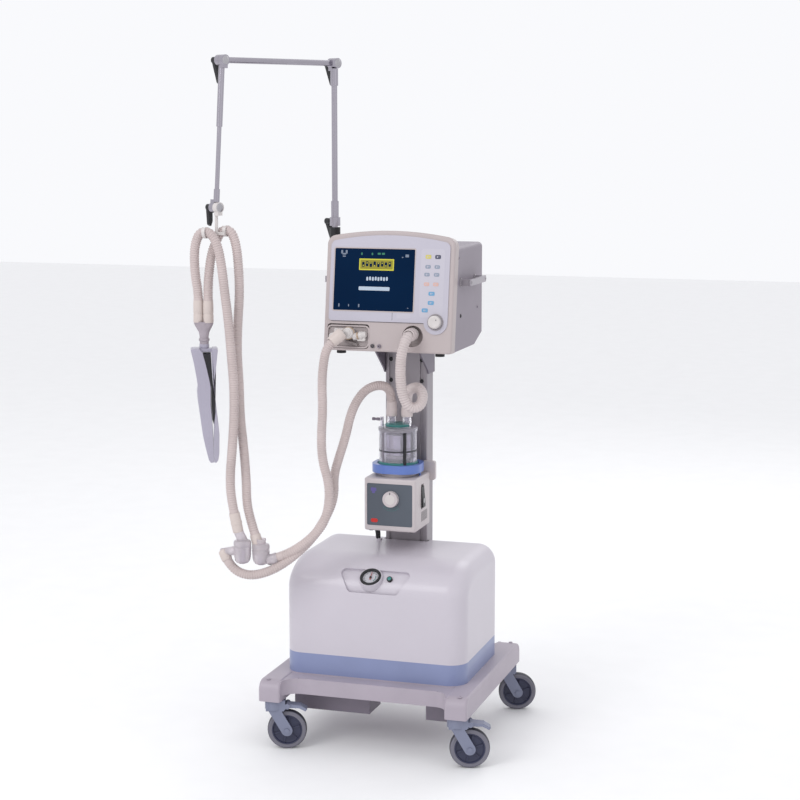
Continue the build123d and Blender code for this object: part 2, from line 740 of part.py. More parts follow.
humid_face = Plane(origin=(0, HUMID_FRONT, 0), x_dir=(1, 0, 0), z_dir=(0, -1, 0))
DIAL_CENTRE = (4.0, 618.0)
GUARD_POST_X = 59.0
LEVER_PIVOT = (66.0, 640.0)
with BuildPart() as humidifier_body:
    with BuildSketch(Plane.XY.offset(HUMID_BOTTOM)):
        with Locations((0, (HUMID_FRONT + HUMID_REAR) / 2)):
            RectangleRounded(2 * HUMID_HALF, HUMID_REAR - HUMID_FRONT, 9)
    extrude(amount=HUMID_TOP - HUMID_BOTTOM)
    fillet(humidifier_body.faces().sort_by(Axis.Z)[-1].edges(), 5)
    fillet(humidifier_body.faces().sort_by(Axis.Z)[0].edges(), 5)
    with BuildSketch(humid_face.offset(-1)):
        with Locations((0, 602)):
            RectangleRounded(122, 110, 4)
    extrude(amount=2, mode=Mode.SUBTRACT)
    with BuildSketch(humid_face.offset(-16)):
        with Locations(DIAL_CENTRE):
            Circle(BOLT_RADIUS + RUNNING_GAP)
    extrude(amount=17, mode=Mode.SUBTRACT)
    with BuildSketch(Plane.XY.offset(HUMID_TOP - 22)):
        with Locations((-GUARD_POST_X, CHAMBER_Y), (GUARD_POST_X, CHAMBER_Y)):
            Circle(2.5 + RUNNING_GAP)
    extrude(amount=23, mode=Mode.SUBTRACT)
    with BuildSketch(Plane.XZ.offset(-15)):
        with Locations((HUMID_HALF + 1.5, 618)):
            Rectangle(16, 64)
    extrude(amount=-22, mode=Mode.SUBTRACT)
    with BuildSketch(Plane.XZ.offset(-10)):
        with Locations(LEVER_PIVOT):
            Circle(1.5 + RUNNING_GAP)
    extrude(amount=-32, mode=Mode.SUBTRACT)
    with BuildSketch(Plane.XY.offset(HUMID_BOTTOM - 6)):
        with Locations((-48, 8)):
            Circle(7)
    extrude(amount=7)
    with BuildSketch(Plane.XY.offset(HUMID_TOP)):
        with Locations((0, CHAMBER_Y)):
            Circle(48)
    extrude(amount=HEATER_THICKNESS)
save(humidifier_body, "humidifier_body")

with BuildPart() as humidifier_dial:
    with BuildSketch(humid_face.offset(-0.4)):
        with Locations(DIAL_CENTRE):
            Circle(21)
    extrude(amount=11, taper=4)
    fillet(humidifier_dial.faces().sort_by(Axis.Y)[0].edges(), 2)
    with BuildSketch(humid_face.offset(-14)):
        with Locations(DIAL_CENTRE):
            Circle(BOLT_RADIUS)
    extrude(amount=14)
save(humidifier_dial, "humidifier_dial")

with BuildPart() as guard_lever:
    with BuildSketch(Plane.XZ.offset(-15.4)):
        with BuildLine():
            Polyline((65, 644), (71, 644), (75, 600), (75, 590), (70, 590), (68, 600), close=True)
        make_face()
    extrude(amount=-21.2)
    with BuildSketch(Plane.XZ.offset(-10.5)):
        with Locations(LEVER_PIVOT):
            Circle(1.5)
    extrude(amount=-31)
save(guard_lever, "guard_lever")

with BuildPart() as chamber_guard:
    with BuildSketch(Plane.XY.offset(679.5)):
        with Locations((0, CHAMBER_Y)):
            RectangleRounded(128, 116, 46)
            Circle(53.5, mode=Mode.SUBTRACT)
    extrude(amount=22)
    fillet(chamber_guard.faces().sort_by(Axis.Z)[-1].edges().sort_by(Edge.length)[-1:], 0.8)
    with BuildSketch(Plane.XY.offset(660)):
        with Locations((-GUARD_POST_X, CHAMBER_Y), (GUARD_POST_X, CHAMBER_Y)):
            Circle(2.5)
    extrude(amount=20)
save(chamber_guard, "chamber_guard")

with BuildPart() as water_chamber:
    with BuildSketch(Plane.XY.offset(677)):
        with Locations((0, CHAMBER_Y)):
            Circle(51)
    extrude(amount=5)
    with BuildSketch(Plane.XY.offset(682)):
        with Locations((0, CHAMBER_Y)):
            Circle(49)
            Circle(46, mode=Mode.SUBTRACT)
    extrude(amount=103)
save(water_chamber, "water_chamber")

OUTLET_X = -17.0
INLET_X = 24.0
PORT_TOP = 828.0
with BuildPart() as chamber_cap:
    with BuildSketch(Plane.XY.offset(785)):
        with Locations((0, CHAMBER_Y)):
            Circle(51)
    extrude(amount=11)
    fillet(chamber_cap.edges().filter_by(GeomType.CIRCLE).group_by(Axis.Z)[-1], 3)
    with BuildSketch(Plane.XY.offset(796)):
        with Locations((OUTLET_X, CHAMBER_Y), (INLET_X, CHAMBER_Y)):
            Circle(11)
    extrude(amount=PORT_TOP - 796)
    with BuildSketch(Plane.XY.offset(785)):
        with Locations((OUTLET_X, CHAMBER_Y), (INLET_X, CHAMBER_Y)):
            Circle(9)
    extrude(amount=PORT_TOP - 785, mode=Mode.SUBTRACT)
    with BuildSketch(Plane.XY.offset(796)):
        with Locations((-38, 20)):
            Circle(5)
    extrude(amount=26)
    with BuildSketch(Plane.YZ.offset(-64)):
        with Locations((20, 815)):
            Circle(4)
    extrude(amount=26)
save(chamber_cap, "chamber_cap")

# ---------------------------------------------------------------- support arm
away = (Vector(-166, -345, 0)).normalized()
lever_side = Vector(away.Y, -away.X, 0)


def arm_plane(along, height, shift=0.0):
    """Upright plane of the arm at a joint: X along the boom, Y up, normal towards the levers."""
    origin = Vector(POST_X, POST_Y, height) + away * along + lever_side * shift
    return Plane(origin=origin, x_dir=away, z_dir=lever_side)


KNUCKLE_GAP = 0.3
KNUCKLE_HALF = 14.0
STUD_GAP = 0.1
NECK = KNUCKLE_RADIUS + 0.4


def knuckle(along, height, on_lever_side, angle):
    """Half of an elbow joint with its neck; angle is the tube's direction in the arm's plane."""
    start = KNUCKLE_GAP / 2 if on_lever_side else -KNUCKLE_HALF
    neck_x = math.cos(math.radians(angle)) * (NECK + 6) / 2
    neck_y = math.sin(math.radians(angle)) * (NECK + 6) / 2
    with BuildPart() as half:
        with BuildSketch(arm_plane(along, height, start)):
            Circle(KNUCKLE_RADIUS)
            with Locations((neck_x, neck_y)):
                Rectangle(NECK + 6, 2 * TUBE_RADIUS, rotation=angle)
            Circle(BOLT_RADIUS + STUD_GAP, mode=Mode.SUBTRACT)
        extrude(amount=KNUCKLE_HALF - KNUCKLE_GAP / 2)
    return half.part


def tube(start, end, radius):
    """Round bar between two points of the arm."""
    with BuildPart() as bar:
        with BuildSketch(Plane(origin=start, z_dir=(end - start).normalized())):
            Circle(radius)
        extrude(amount=(end - start).length)
    return bar.part


def arm_point(along, height):
    return arm_plane(along, height).origin


POST_FOOT = 1186.0
COLLAR_LOW = 1306.0
COLLAR_HIGH = 1328.0
with BuildPart() as arm_clamp:
    with BuildSketch(Plane.XY.offset(1180)):
        with Locations((POST_X + 4, POST_Y)):
            RectangleRounded(32, 36, 6)
        with Locations((-CASE_HALF - 3, POST_Y)):
            Rectangle(6, 60)
    extrude(amount=70)
    with BuildSketch(Plane.XY.offset(1250)):
        with Locations((POST_X, POST_Y)):
            Circle(14)
    extrude(amount=52)
    with BuildSketch(Plane.XY.offset(POST_FOOT)):
        with Locations((POST_X, POST_Y)):
            Circle(TUBE_RADIUS + RUNNING_GAP)
    extrude(amount=120, mode=Mode.SUBTRACT)
save(arm_clamp, "arm_clamp")

with BuildPart() as arm_riser:
    add(tube(Vector(POST_X, POST_Y, POST_FOOT + 1), arm_point(0, ARM_HEIGHT - NECK), TUBE_RADIUS))
    add(tube(Vector(POST_X, POST_Y, COLLAR_LOW), Vector(POST_X, POST_Y, COLLAR_HIGH + 42), 10))
    add(tube(Vector(POST_X, POST_Y, COLLAR_LOW), Vector(POST_X, POST_Y, COLLAR_HIGH), 14))
    add(tube(Vector(POST_X, POST_Y, 1665), arm_point(0, ARM_HEIGHT - NECK), 10))
    add(knuckle(0, ARM_HEIGHT, True, -90))
    with BuildSketch(arm_plane(0, (COLLAR_LOW + COLLAR_HIGH) / 2, 8)):
        Circle(BOLT_RADIUS + RUNNING_GAP)
    extrude(amount=10, mode=Mode.SUBTRACT)
save(arm_riser, "arm_riser")

with BuildPart() as arm_boom:
    add(tube(arm_point(NECK, ARM_HEIGHT), arm_point(BOOM_LENGTH - NECK, ARM_HEIGHT), TUBE_RADIUS))
    add(knuckle(0, ARM_HEIGHT, False, 0))
    add(knuckle(BOOM_LENGTH, ARM_HEIGHT, True, 180))
save(arm_boom, "arm_boom")

drop_top = arm_point(BOOM_LENGTH, ARM_HEIGHT)
drop_end = arm_point(HANGER_REACH, HANGER_HEIGHT)
drop_axis = (drop_end - drop_top).normalized()
drop_angle = -90 + math.degrees(math.atan2(HANGER_REACH - BOOM_LENGTH, ARM_HEIGHT - HANGER_HEIGHT))
drop_step = drop_top + drop_axis * 160
with BuildPart() as arm_drop:
    add(tube(drop_top + drop_axis * NECK, drop_step, TUBE_RADIUS))
    add(tube(drop_step, drop_end - drop_axis * NECK, 5.5))
    add(tube(drop_end - drop_axis * 45, drop_end - drop_axis * NECK, 7.5))
    add(knuckle(BOOM_LENGTH, ARM_HEIGHT, False, drop_angle))
    add(knuckle(HANGER_REACH, HANGER_HEIGHT, True, drop_angle + 180))
save(arm_drop, "arm_drop")

CLIP_WIDTH = 8.0
CLIP_INNER = HOSE_RADIUS + 0.8
CLIP_OUTER = HOSE_RADIUS + 3.6
FRONT_CLIP = (-389.0, -291.0, 1308.0)
REAR_CLIP = (-349.0, -255.0, 1311.0)
hanger_foot = Vector(drop_end.X, drop_end.Y, 1302)
with BuildPart() as hose_hanger:
    add(knuckle(HANGER_REACH, HANGER_HEIGHT, False, -90))
    add(tube(drop_end - Vector(0, 0, NECK), hanger_foot, 4))
    for clip_x, clip_y, clip_z in (FRONT_CLIP, REAR_CLIP):
        with BuildSketch(Plane.YZ.offset(clip_x - CLIP_WIDTH / 2)):
            with Locations((clip_y, clip_z)):
                Circle(CLIP_OUTER)
                Circle(CLIP_INNER, mode=Mode.SUBTRACT)
                with Locations((0, CLIP_OUTER)):
                    Rectangle(22, 22, mode=Mode.SUBTRACT)
        extrude(amount=CLIP_WIDTH)
    with BuildSketch(Plane.XY.offset(1300)):
        with Locations(((FRONT_CLIP[0] + REAR_CLIP[0]) / 2, drop_end.Y)):
            Rectangle(REAR_CLIP[0] - FRONT_CLIP[0] + CLIP_WIDTH, 7.4)
    extrude(amount=8)
save(hose_hanger, "hose_hanger")


def clamp_lever(along, height, first, lean, reach):
    """Threaded stud, hub and drooping handle of one clamp lever; the handle's tip leans back by lean."""
    stud = 9.0 if first else -KNUCKLE_HALF
    face = KNUCKLE_HALF + (1.0 if first else 0.5)
    with BuildPart() as lever:
        with BuildSketch(arm_plane(along, height, stud)):
            Circle(BOLT_RADIUS)
        extrude(amount=face - stud + 2)
        with BuildSketch(arm_plane(along, height, face)):
            Circle(8)
        extrude(amount=17)
        with BuildSketch(arm_plane(along, height, face + 7)):
            with BuildLine():
                Polyline(
                    (-7, 0),
                    (7, 0),
                    (4 - lean, 4 - reach),
                    (-2 - lean, -reach),
                    (-7 - lean, 12 - reach),
                    close=True,
                )
            make_face()
        extrude(amount=9)
    return lever


for lever_name, lever_along, lever_height, is_first, lever_lean, lever_reach in (
    ("clamp_lever_post", 0, (COLLAR_LOW + COLLAR_HIGH) / 2, True, 18, 56),
    ("clamp_lever_boom", 0, ARM_HEIGHT, False, 18, 58),
    ("clamp_lever_drop", BOOM_LENGTH, ARM_HEIGHT, False, 13, 58),
    ("clamp_lever_hanger", HANGER_REACH, HANGER_HEIGHT, False, 0, 46),
):
    save(clamp_lever(lever_along, lever_height, is_first, lever_lean, lever_reach), lever_name)


# ---------------------------------------------------------------- hoses, traps, Y-piece and test lung
def cord_wire(points):
    """Straight runs joined by tangent arcs, each arc as large as its two runs allow."""
    places = [Vector(*point) for point in points]
    radii = []
    for before, here, after in zip(places, places[1:], places[2:]):
        turn = math.radians((here - before).get_angle(after - here))
        shorter = min((here - before).length, (after - here).length)
        radii.append(0.45 * shorter / math.tan(turn / 2))
    with BuildLine() as route:
        FilletPolyline(*places, radius=radii)
    return route, radii


def cord_tube(points, radius, name):
    """Round tube along a cord's route; it prints its tightest arc and its length."""
    route, radii = cord_wire(points)
    wire = route.wires()[0]
    with BuildPart() as cord:
        with BuildSketch(Plane(origin=wire @ 0, z_dir=wire % 0)):
            Circle(radius)
        sweep(path=wire)
    filled = cord.part.volume / (math.pi * radius**2 * wire.length)
    print(f"{name}: length {wire.length:.0f}, volume ratio {filled:.4f}, radii", [round(r) for r in radii])
    save(cord, name)


DRY_HOSE = (
    DRY_START,
    (67, -98, 1047),
    (56, -108, 1010),
    (51, -104, 975),
    (50, -100, 935),
    (54, -96, 897),
    (69, -88, 864),
    (92, -70, 866),
    (96, -52, 893),
    (77, -34, 912),
    (51, -16, 903),
    (33, 14, 888),
    (INLET_X, CHAMBER_Y, 866),
    (INLET_X, CHAMBER_Y, PORT_TOP),
)
INSPIRATORY_LOWER = (
    (OUTLET_X, CHAMBER_Y, PORT_TOP),
    (OUTLET_X, CHAMBER_Y, 868),
    (-20, 22, 898),
    (-40, -2, 908),
    (-66, -26, 898),
    (-84, -48, 870),
    (-92, -74, 836),
    (-96, -96, 788),
    (-106, -116, 740),
    (-114, -140, 692),
    (-104, -164, 645),
    (-113, -188, 602),
    (-142, -220, 545),
    (-185, -250, 500),
    (-232, -276, 468),
    (-285, -290, 454),
    (-332, -290, 470),
    (-349, -285, 498),
)
EXPIRATORY_LOWER = (
    VALVE_PORT,
    VALVE_OUT,
    (-143, -130, 980),
    (-145, -138, 925),
    (-139, -148, 860),
    (-139, -162, 790),
    (-131, -176, 735),
    (-108, -192, 684),
    (-101, -210, 632),
    (-112, -224, 582),
    (-148, -240, 541),
    (-195, -256, 509),
    (-228, -264, 498),
)
INSPIRATORY_UPPER = (
    (-324, -284, 604),
    (-333, -286, 650),
    (-334, -288, 705),
    (-327, -289, 770),
    (-320, -290, 850),
    (-319, -290, 930),
    (-325, -291, 1010),
    (-331, -291, 1090),
    (-340, -291, 1160),
    (-347, -291, 1225),
    (-357, -291, 1277),
    (-375, -291, 1308),
    (-403, -291, 1308),
    (-416, -291, 1280),
    (-420, -290, 1245),
    (-419, -286, 1195),
    (-415, -280, 1161),
    (-415, -280, 1131),
)
EXPIRATORY_UPPER = (
    (-276, -265, 548),
    (-291, -261, 590),
    (-303, -257, 632),
    (-304, -255, 690),
    (-310, -254, 770),
    (-319, -254, 850),
    (-320, -254, 930),
    (-325, -254, 1010),
    (-322, -254, 1085),
    (-316, -254, 1155),
    (-318, -254, 1225),
    (-323, -255, 1278),
    (-336, -255, 1311),
    (-362, -255, 1311),
    (-376, -257, 1282),
    (-386, -264, 1250),
    (-390, -272, 1200),
    (-389, -280, 1161),
    (-389, -280, 1131),
)
cord_tube(DRY_HOSE, DRY_HOSE_RADIUS, "dry_hose")
cord_tube(INSPIRATORY_LOWER, HOSE_RADIUS, "inspiratory_hose_lower")
cord_tube(EXPIRATORY_LOWER, HOSE_RADIUS, "expiratory_hose_lower")
cord_tube(INSPIRATORY_UPPER, HOSE_RADIUS, "inspiratory_hose_upper")
cord_tube(EXPIRATORY_UPPER, HOSE_RADIUS, "expiratory_hose_upper")

LEAD_ROUTE = (
    (-48, 8, HUMID_BOTTOM - 6),
    (-48, 8, 510),
    (-53, 26, 499),
    (-60, 52, 502),
    (-66, 76, 510),
    (-68, 88, 502),
    (-68, 88, COVER_TOP + 5),
)
cord_tube(LEAD_ROUTE, LEAD_RADIUS, "humidifier_lead")


def water_trap(upper_route, lower_route, cup_x, cup_y, cup_low, cup_height):
    """Trap body with its cup, a cuff in line with the upper hose and an elbow in line with the lower one."""
    top = Vector(*upper_route[0])
    rise = (Vector(*upper_route[1]) - top).normalized()
    port = Vector(*lower_route[-1])
    inward = (port - Vector(*lower_route[-2])).normalized()
    cup_top = Vector(cup_x, cup_y, cup_low + cup_height)
    elbow = port + inward * 16
    with BuildPart() as trap:
        add(tube(Vector(cup_x, cup_y, cup_low), cup_top, 22))
        add(tube(top - rise * 46, top, 13.5))
        add(tube(cup_top - Vector(0, 0, 12), top - rise * 40, 12.5))
        add(tube(port, elbow, 13))
        add(tube(elbow, Vector(cup_x, cup_y, cup_low + 36), 11))
        with Locations(elbow):
            Sphere(13)
    return trap.part


with BuildPart() as water_traps:
    add(water_trap(INSPIRATORY_UPPER, INSPIRATORY_LOWER, -306, -281, 484, 60))
    add(water_trap(EXPIRATORY_UPPER, EXPIRATORY_LOWER, -262, -268, 481, 54))
save(water_traps, "water_traps")

with BuildPart() as y_piece:
    with BuildSketch(Plane.XY.offset(1084)):
        with Locations((-415, -280), (-389, -280)):
            Circle(12.9)
    extrude(amount=47)
    with BuildSketch(Plane.XY.offset(1084)):
        with Locations((-402, -280)):
            Ellipse(25, 12.5)
    with BuildSketch(Plane.XY.offset(1056)):
        with Locations((-401, -280)):
            Circle(11.5)
    loft()
    with BuildSketch(Plane.XY.offset(1026)):
        with Locations((-401, -280)):
            Circle(11.5)
    extrude(amount=30)
save(y_piece, "y_piece")

LUNG_TURN = math.radians(23.5)
lung_plane = Plane(
    origin=(-401, -280, 0),
    x_dir=(math.cos(LUNG_TURN), math.sin(LUNG_TURN), 0),
    z_dir=(math.sin(LUNG_TURN), -math.cos(LUNG_TURN), 0),
)
LEFT_PLATE = (
    (-34, 1021), (-12, 1021), (-4.5, 1013), (11.2, 950), (15.2, 929), (15.2, 880), (19, 790), (19.8, 737),
    (12, 736), (0, 772), (-8, 806), (-15, 860), (-20, 918), (-18, 931), (-27, 990),
)
RIGHT_PLATE = (
    (15.8, 1013), (20, 1021), (33, 1021), (28, 976), (21.8, 931), (27, 877), (32, 830), (33.5, 800),
    (32.5, 759), (29, 742), (20.6, 737), (20, 790), (21.2, 832), (25.2, 876), (20.8, 929),
)
BAG = (
    (-4.2, 1013), (15.5, 1013), (20.5, 929), (24.9, 876), (20.9, 832), (19, 800), (15.5, 880), (15.5, 929),
    (11.5, 950),
)
with BuildPart() as test_lung:
    for outline, half_depth in ((LEFT_PLATE, 26), (RIGHT_PLATE, 26), (BAG, 24)):
        with BuildSketch(lung_plane):
            with BuildLine():
                Polyline(*outline, close=True)
            make_face()
        extrude(amount=half_depth, both=True)
    with BuildSketch(lung_plane):
        with Locations((0, 1016)):
            Rectangle(60, 10)
    extrude(amount=13, both=True)
    with BuildSketch(Plane.XY.offset(1018)):
        with Locations((-401, -280)):
            Circle(11.5)
    extrude(amount=8)
save(test_lung, "test_lung")
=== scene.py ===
"""Intensive-care ventilator on its trolley: looks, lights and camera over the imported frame."""
import math
import bpy
from mathutils import Matrix, Vector


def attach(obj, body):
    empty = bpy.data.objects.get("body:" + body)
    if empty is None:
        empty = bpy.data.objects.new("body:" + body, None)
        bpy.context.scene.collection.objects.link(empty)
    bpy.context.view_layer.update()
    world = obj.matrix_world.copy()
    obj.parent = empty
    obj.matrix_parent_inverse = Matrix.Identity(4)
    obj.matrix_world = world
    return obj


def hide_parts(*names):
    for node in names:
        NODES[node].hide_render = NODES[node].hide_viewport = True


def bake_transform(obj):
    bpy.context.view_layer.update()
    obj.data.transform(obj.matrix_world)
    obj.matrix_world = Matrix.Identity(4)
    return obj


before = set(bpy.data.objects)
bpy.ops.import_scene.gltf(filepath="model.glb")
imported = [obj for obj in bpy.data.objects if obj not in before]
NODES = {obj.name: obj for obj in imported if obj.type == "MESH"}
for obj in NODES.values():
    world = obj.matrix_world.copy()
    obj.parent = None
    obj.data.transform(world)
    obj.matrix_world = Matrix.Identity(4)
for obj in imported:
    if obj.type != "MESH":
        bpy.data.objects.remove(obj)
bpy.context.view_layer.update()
MM = 0.001
TO_MM = 1000
UP = (0, 0, 1)


def P(x, y, z):
    """Point given in mm."""
    return Vector((x, y, z)) * MM


# ---------------------------------------------------------------- camera, lights and floor
cam_data = bpy.data.cameras.new("camera")
cam_data.lens = 84.06
cam_data.sensor_width = 36
cam = bpy.data.objects.new("camera", cam_data)
cam.location = (1.4368, -4.5024, 1.583)
cam.rotation_euler = (math.radians(90 - 8.585), 0, math.radians(17.5))
bpy.context.collection.objects.link(cam)
bpy.context.scene.camera = cam

world = bpy.data.worlds.new("studio")
world.use_nodes = True
world.node_tree.nodes["Background"].inputs["Color"].default_value = (0.95, 0.955, 0.98, 1)
world.node_tree.nodes["Background"].inputs["Strength"].default_value = 1.0
bpy.context.scene.world = world
bpy.context.scene.view_settings.view_transform = "Standard"


def area_light(name, place, target, size, power):
    """Round soft light aimed at the target."""
    data = bpy.data.lights.new(name, "AREA")
    data.shape = "DISK"
    data.size = size
    data.energy = power
    lamp = bpy.data.objects.new(name, data)
    lamp.location = place
    lamp.rotation_euler = (Vector(target) - Vector(place)).to_track_quat("-Z", "Y").to_euler()
    bpy.context.collection.objects.link(lamp)


area_light("key", (-1.8, -3.6, 3.4), (0, 0, 0.8), 2.4, 56)
area_light("fill", (3.4, -2.6, 2.4), (0, 0, 0.8), 2.6, 4)
area_light("back", (0.6, 3.4, 3.2), (0, 0, 0.9), 2.4, 24)


# ---------------------------------------------------------------- materials
def finish(name, colour, rough=0.45, metal=0.0, vary=0.05, mottle=9.0, grain=500.0, bump=0.08,
           stretch=(1, 1, 1), coat=0.0, clear=0.0, ior=1.45, glow=0.0, shine=0.5):
    """Procedural finish: slow colour variation, fine roughness variation and a fine surface texture."""
    mat = bpy.data.materials.new(name)
    mat.use_nodes = True
    nodes = mat.node_tree.nodes
    link = mat.node_tree.links.new
    shader = nodes["Principled BSDF"]
    coords = nodes.new("ShaderNodeTexCoord")
    mapping = nodes.new("ShaderNodeMapping")
    mapping.inputs["Scale"].default_value = stretch
    link(coords.outputs["Object"], mapping.inputs["Vector"])
    slow = nodes.new("ShaderNodeTexNoise")
    slow.inputs["Scale"].default_value = mottle
    slow.inputs["Detail"].default_value = 4
    link(mapping.outputs["Vector"], slow.inputs["Vector"])
    tone = nodes.new("ShaderNodeValToRGB")
    tone.color_ramp.elements[0].position = 0.3
    tone.color_ramp.elements[1].position = 0.7
    tone.color_ramp.elements[0].color = [c * (1 - vary) for c in colour] + [1]
    tone.color_ramp.elements[1].color = [min(1, c * (1 + vary)) for c in colour] + [1]
    link(slow.outputs["Fac"], tone.inputs["Fac"])
    link(tone.outputs["Color"], shader.inputs["Base Color"])
    fine = nodes.new("ShaderNodeTexNoise")
    fine.inputs["Scale"].default_value = grain
    fine.inputs["Detail"].default_value = 3
    link(mapping.outputs["Vector"], fine.inputs["Vector"])
    gloss = nodes.new("ShaderNodeMapRange")
    gloss.inputs["To Min"].default_value = max(0.02, rough - 0.07)
    gloss.inputs["To Max"].default_value = min(1, rough + 0.07)
    link(fine.outputs["Fac"], gloss.inputs["Value"])
    link(gloss.outputs["Result"], shader.inputs["Roughness"])
    relief = nodes.new("ShaderNodeBump")
    relief.inputs["Strength"].default_value = bump
    relief.inputs["Distance"].default_value = 0.0004
    link(fine.outputs["Fac"], relief.inputs["Height"])
    link(relief.outputs["Normal"], shader.inputs["Normal"])
    shader.inputs["Metallic"].default_value = metal
    shader.inputs["Coat Weight"].default_value = coat
    shader.inputs["Coat Roughness"].default_value = 0.08
    shader.inputs["Transmission Weight"].default_value = clear
    shader.inputs["IOR"].default_value = ior
    shader.inputs["Specular IOR Level"].default_value = shine
    if glow:
        link(tone.outputs["Color"], shader.inputs["Emission Color"])
        shader.inputs["Emission Strength"].default_value = glow
    return mat


CHASSIS = finish("chassis paint", (0.39, 0.345, 0.40), 0.42, bump=0.12, grain=900)
GREY_METAL = finish("grey metal", (0.20, 0.175, 0.215), 0.45, metal=0.3, bump=0.1, grain=700)
BLUE_BAND = finish("blue band", (0.215, 0.25, 0.42), 0.35, bump=0.06, coat=0.2)
WHITE = finish("white shell", (0.545, 0.51, 0.565), 0.34, vary=0.02, mottle=5, bump=0.03, coat=0.12)
BLACK = finish("black plastic", (0.012, 0.012, 0.015), 0.42, bump=0.15, grain=900)
RUBBER = finish("black rubber", (0.018, 0.018, 0.02), 0.7, bump=0.2, grain=1100)
NEEDLE = finish("needle red", (0.32, 0.05, 0.04), 0.4)
CAST = finish("cast metal", (0.16, 0.16, 0.17), 0.6, metal=0.8, bump=0.4, grain=350)
COLUMN = finish("anodised column", (0.31, 0.285, 0.31), 0.42, metal=0.5, bump=0.06, grain=600,
                stretch=(1, 1, 0.04))
HANDLE = finish("handle satin metal", (0.36, 0.335, 0.37), 0.3, metal=0.45, bump=0.05)
CASE = finish("case paint", (0.26, 0.23, 0.27), 0.5, vary=0.03, bump=0.22, grain=800)
BEZEL = finish("bezel moulding", (0.455, 0.395, 0.395), 0.42, vary=0.03, bump=0.12, grain=850)
PANEL = finish("panel film", (0.475, 0.455, 0.525), 0.34, vary=0.02, bump=0.04)
GLASS = finish("screen glass", (0.0006, 0.0085, 0.030), 0.2, vary=0.15, mottle=3, bump=0.01, glow=0.45,
               shine=0.04)
WHITE_PLASTIC = finish("white fittings", (0.60, 0.565, 0.555), 0.32, vary=0.04, bump=0.05)
AMBER = finish("amber clip", (0.42, 0.30, 0.20), 0.35)
# Painted shade: this mottled grey stands in for the shade inside the recessed valve bay.
VALVE_BAY_SHADE = finish("valve bay painted shade", (0.36, 0.315, 0.315), 0.48, vary=0.12, mottle=50)
DARK_TRIM = finish("dark trim", (0.22, 0.19, 0.19), 0.5)
CREAM = finish("cream moulding", (0.53, 0.48, 0.49), 0.42, vary=0.04, bump=0.14, grain=850)
CREAM_CUFF = finish("cream cuff", (0.58, 0.505, 0.475), 0.38, vary=0.05, bump=0.06)
HOSE = finish("cream hose", (0.525, 0.445, 0.435), 0.42, vary=0.07, mottle=14, bump=0.05)
HOSE_WHITE = finish("white hose", (0.56, 0.49, 0.485), 0.38, vary=0.05, mottle=14, bump=0.05)
SLATE = finish("slate panel", (0.085, 0.10, 0.125), 0.4, vary=0.06, bump=0.05)
TEAL = finish("teal gasket", (0.04, 0.20, 0.19), 0.35, vary=0.12, bump=0.08)
GUARD = finish("blue guard", (0.11, 0.185, 0.50), 0.3, bump=0.06, coat=0.2)
CLEAR = finish("clear plastic", (0.82, 0.80, 0.88), 0.12, vary=0.03, bump=0.02, clear=0.82)
FROSTED = finish("frosted trap", (0.70, 0.64, 0.68), 0.3, vary=0.08, mottle=30, bump=0.04, clear=0.45)
Y_CLEAR = finish("smoky clear", (0.45, 0.395, 0.44), 0.2, vary=0.1, mottle=40, clear=0.35)
VIOLET_CLEAR = finish("violet stem", (0.30, 0.24, 0.46), 0.3, vary=0.1)
STEEL = finish("polished tube", (0.37, 0.35, 0.395), 0.22, metal=0.95, bump=0.03, grain=500,
               stretch=(1, 1, 0.1))
FITTING = finish("plain steel", (0.42, 0.41, 0.43), 0.3, metal=0.95, bump=0.05)
CHAMBER_METAL = finish("chamber metal", (0.66, 0.62, 0.70), 0.2, metal=0.9, bump=0.05)
BRASS = finish("nickel fitting", (0.55, 0.51, 0.43), 0.3, metal=0.9, bump=0.05)
BOARD = finish("green board", (0.02, 0.16, 0.06), 0.4, vary=0.2, mottle=60)
CASTER = finish("caster grey", (0.20, 0.215, 0.30), 0.42, vary=0.06, bump=0.1, grain=900)
HUB = finish("caster hub", (0.035, 0.038, 0.075), 0.4, vary=0.08, bump=0.1)
TREAD = finish("tread", (0.045, 0.045, 0.06), 0.6, vary=0.12, bump=0.25, grain=900)
TREAD_SIDE = finish("tread side", (0.16, 0.155, 0.19), 0.55, vary=0.1, bump=0.15, grain=900)
LUNG_PLATE = finish("lung plate", (0.38, 0.36, 0.44), 0.28, vary=0.04, bump=0.04)
LUNG_BAG = finish("lung bag", (0.012, 0.011, 0.014), 0.36, vary=0.2, mottle=40, bump=0.1)
KEY_FIELD = finish("key field", (0.50, 0.48, 0.545), 0.32, vary=0.02, bump=0.03)
DARK_LINE = finish("dark line", (0.05, 0.05, 0.06), 0.5)
YELLOW = finish("yellow light", (0.46, 0.44, 0.05), 0.4, glow=0.28, shine=0.1)
YELLOW_SHADE = finish("yellow shade", (0.22, 0.20, 0.03), 0.4, glow=0.3, shine=0.1)
SCREEN_WHITE = finish("white light", (0.36, 0.42, 0.50), 0.4, glow=0.25, shine=0.1)
SCREEN_GREEN = finish("green light", (0.04, 0.16, 0.10), 0.4, glow=0.25, shine=0.1)
SCREEN_GREY = finish("grey light", (0.16, 0.19, 0.25), 0.4, glow=0.2, shine=0.1)
KEY_GREY = finish("key grey", (0.25, 0.29, 0.37), 0.4)
KEY_BLUE = finish("key blue", (0.13, 0.32, 0.52), 0.4)
KEY_PINK = finish("key pink", (0.62, 0.39, 0.34), 0.4)
KEY_YELLOW = finish("key yellow", (0.58, 0.51, 0.14), 0.4)
RED = finish("red mark", (0.55, 0.02, 0.015), 0.35)
VIOLET = finish("violet mark", (0.12, 0.10, 0.30), 0.4)
DIAL_WHITE = finish("dial white", (0.50, 0.49, 0.53), 0.4)
WATER = finish("water", (0.60, 0.72, 0.80), 0.05, vary=0.02, bump=0.0, clear=0.95, ior=1.33)
STEP_SHADOW = finish("step shadow", (0.20, 0.18, 0.19), 0.6)
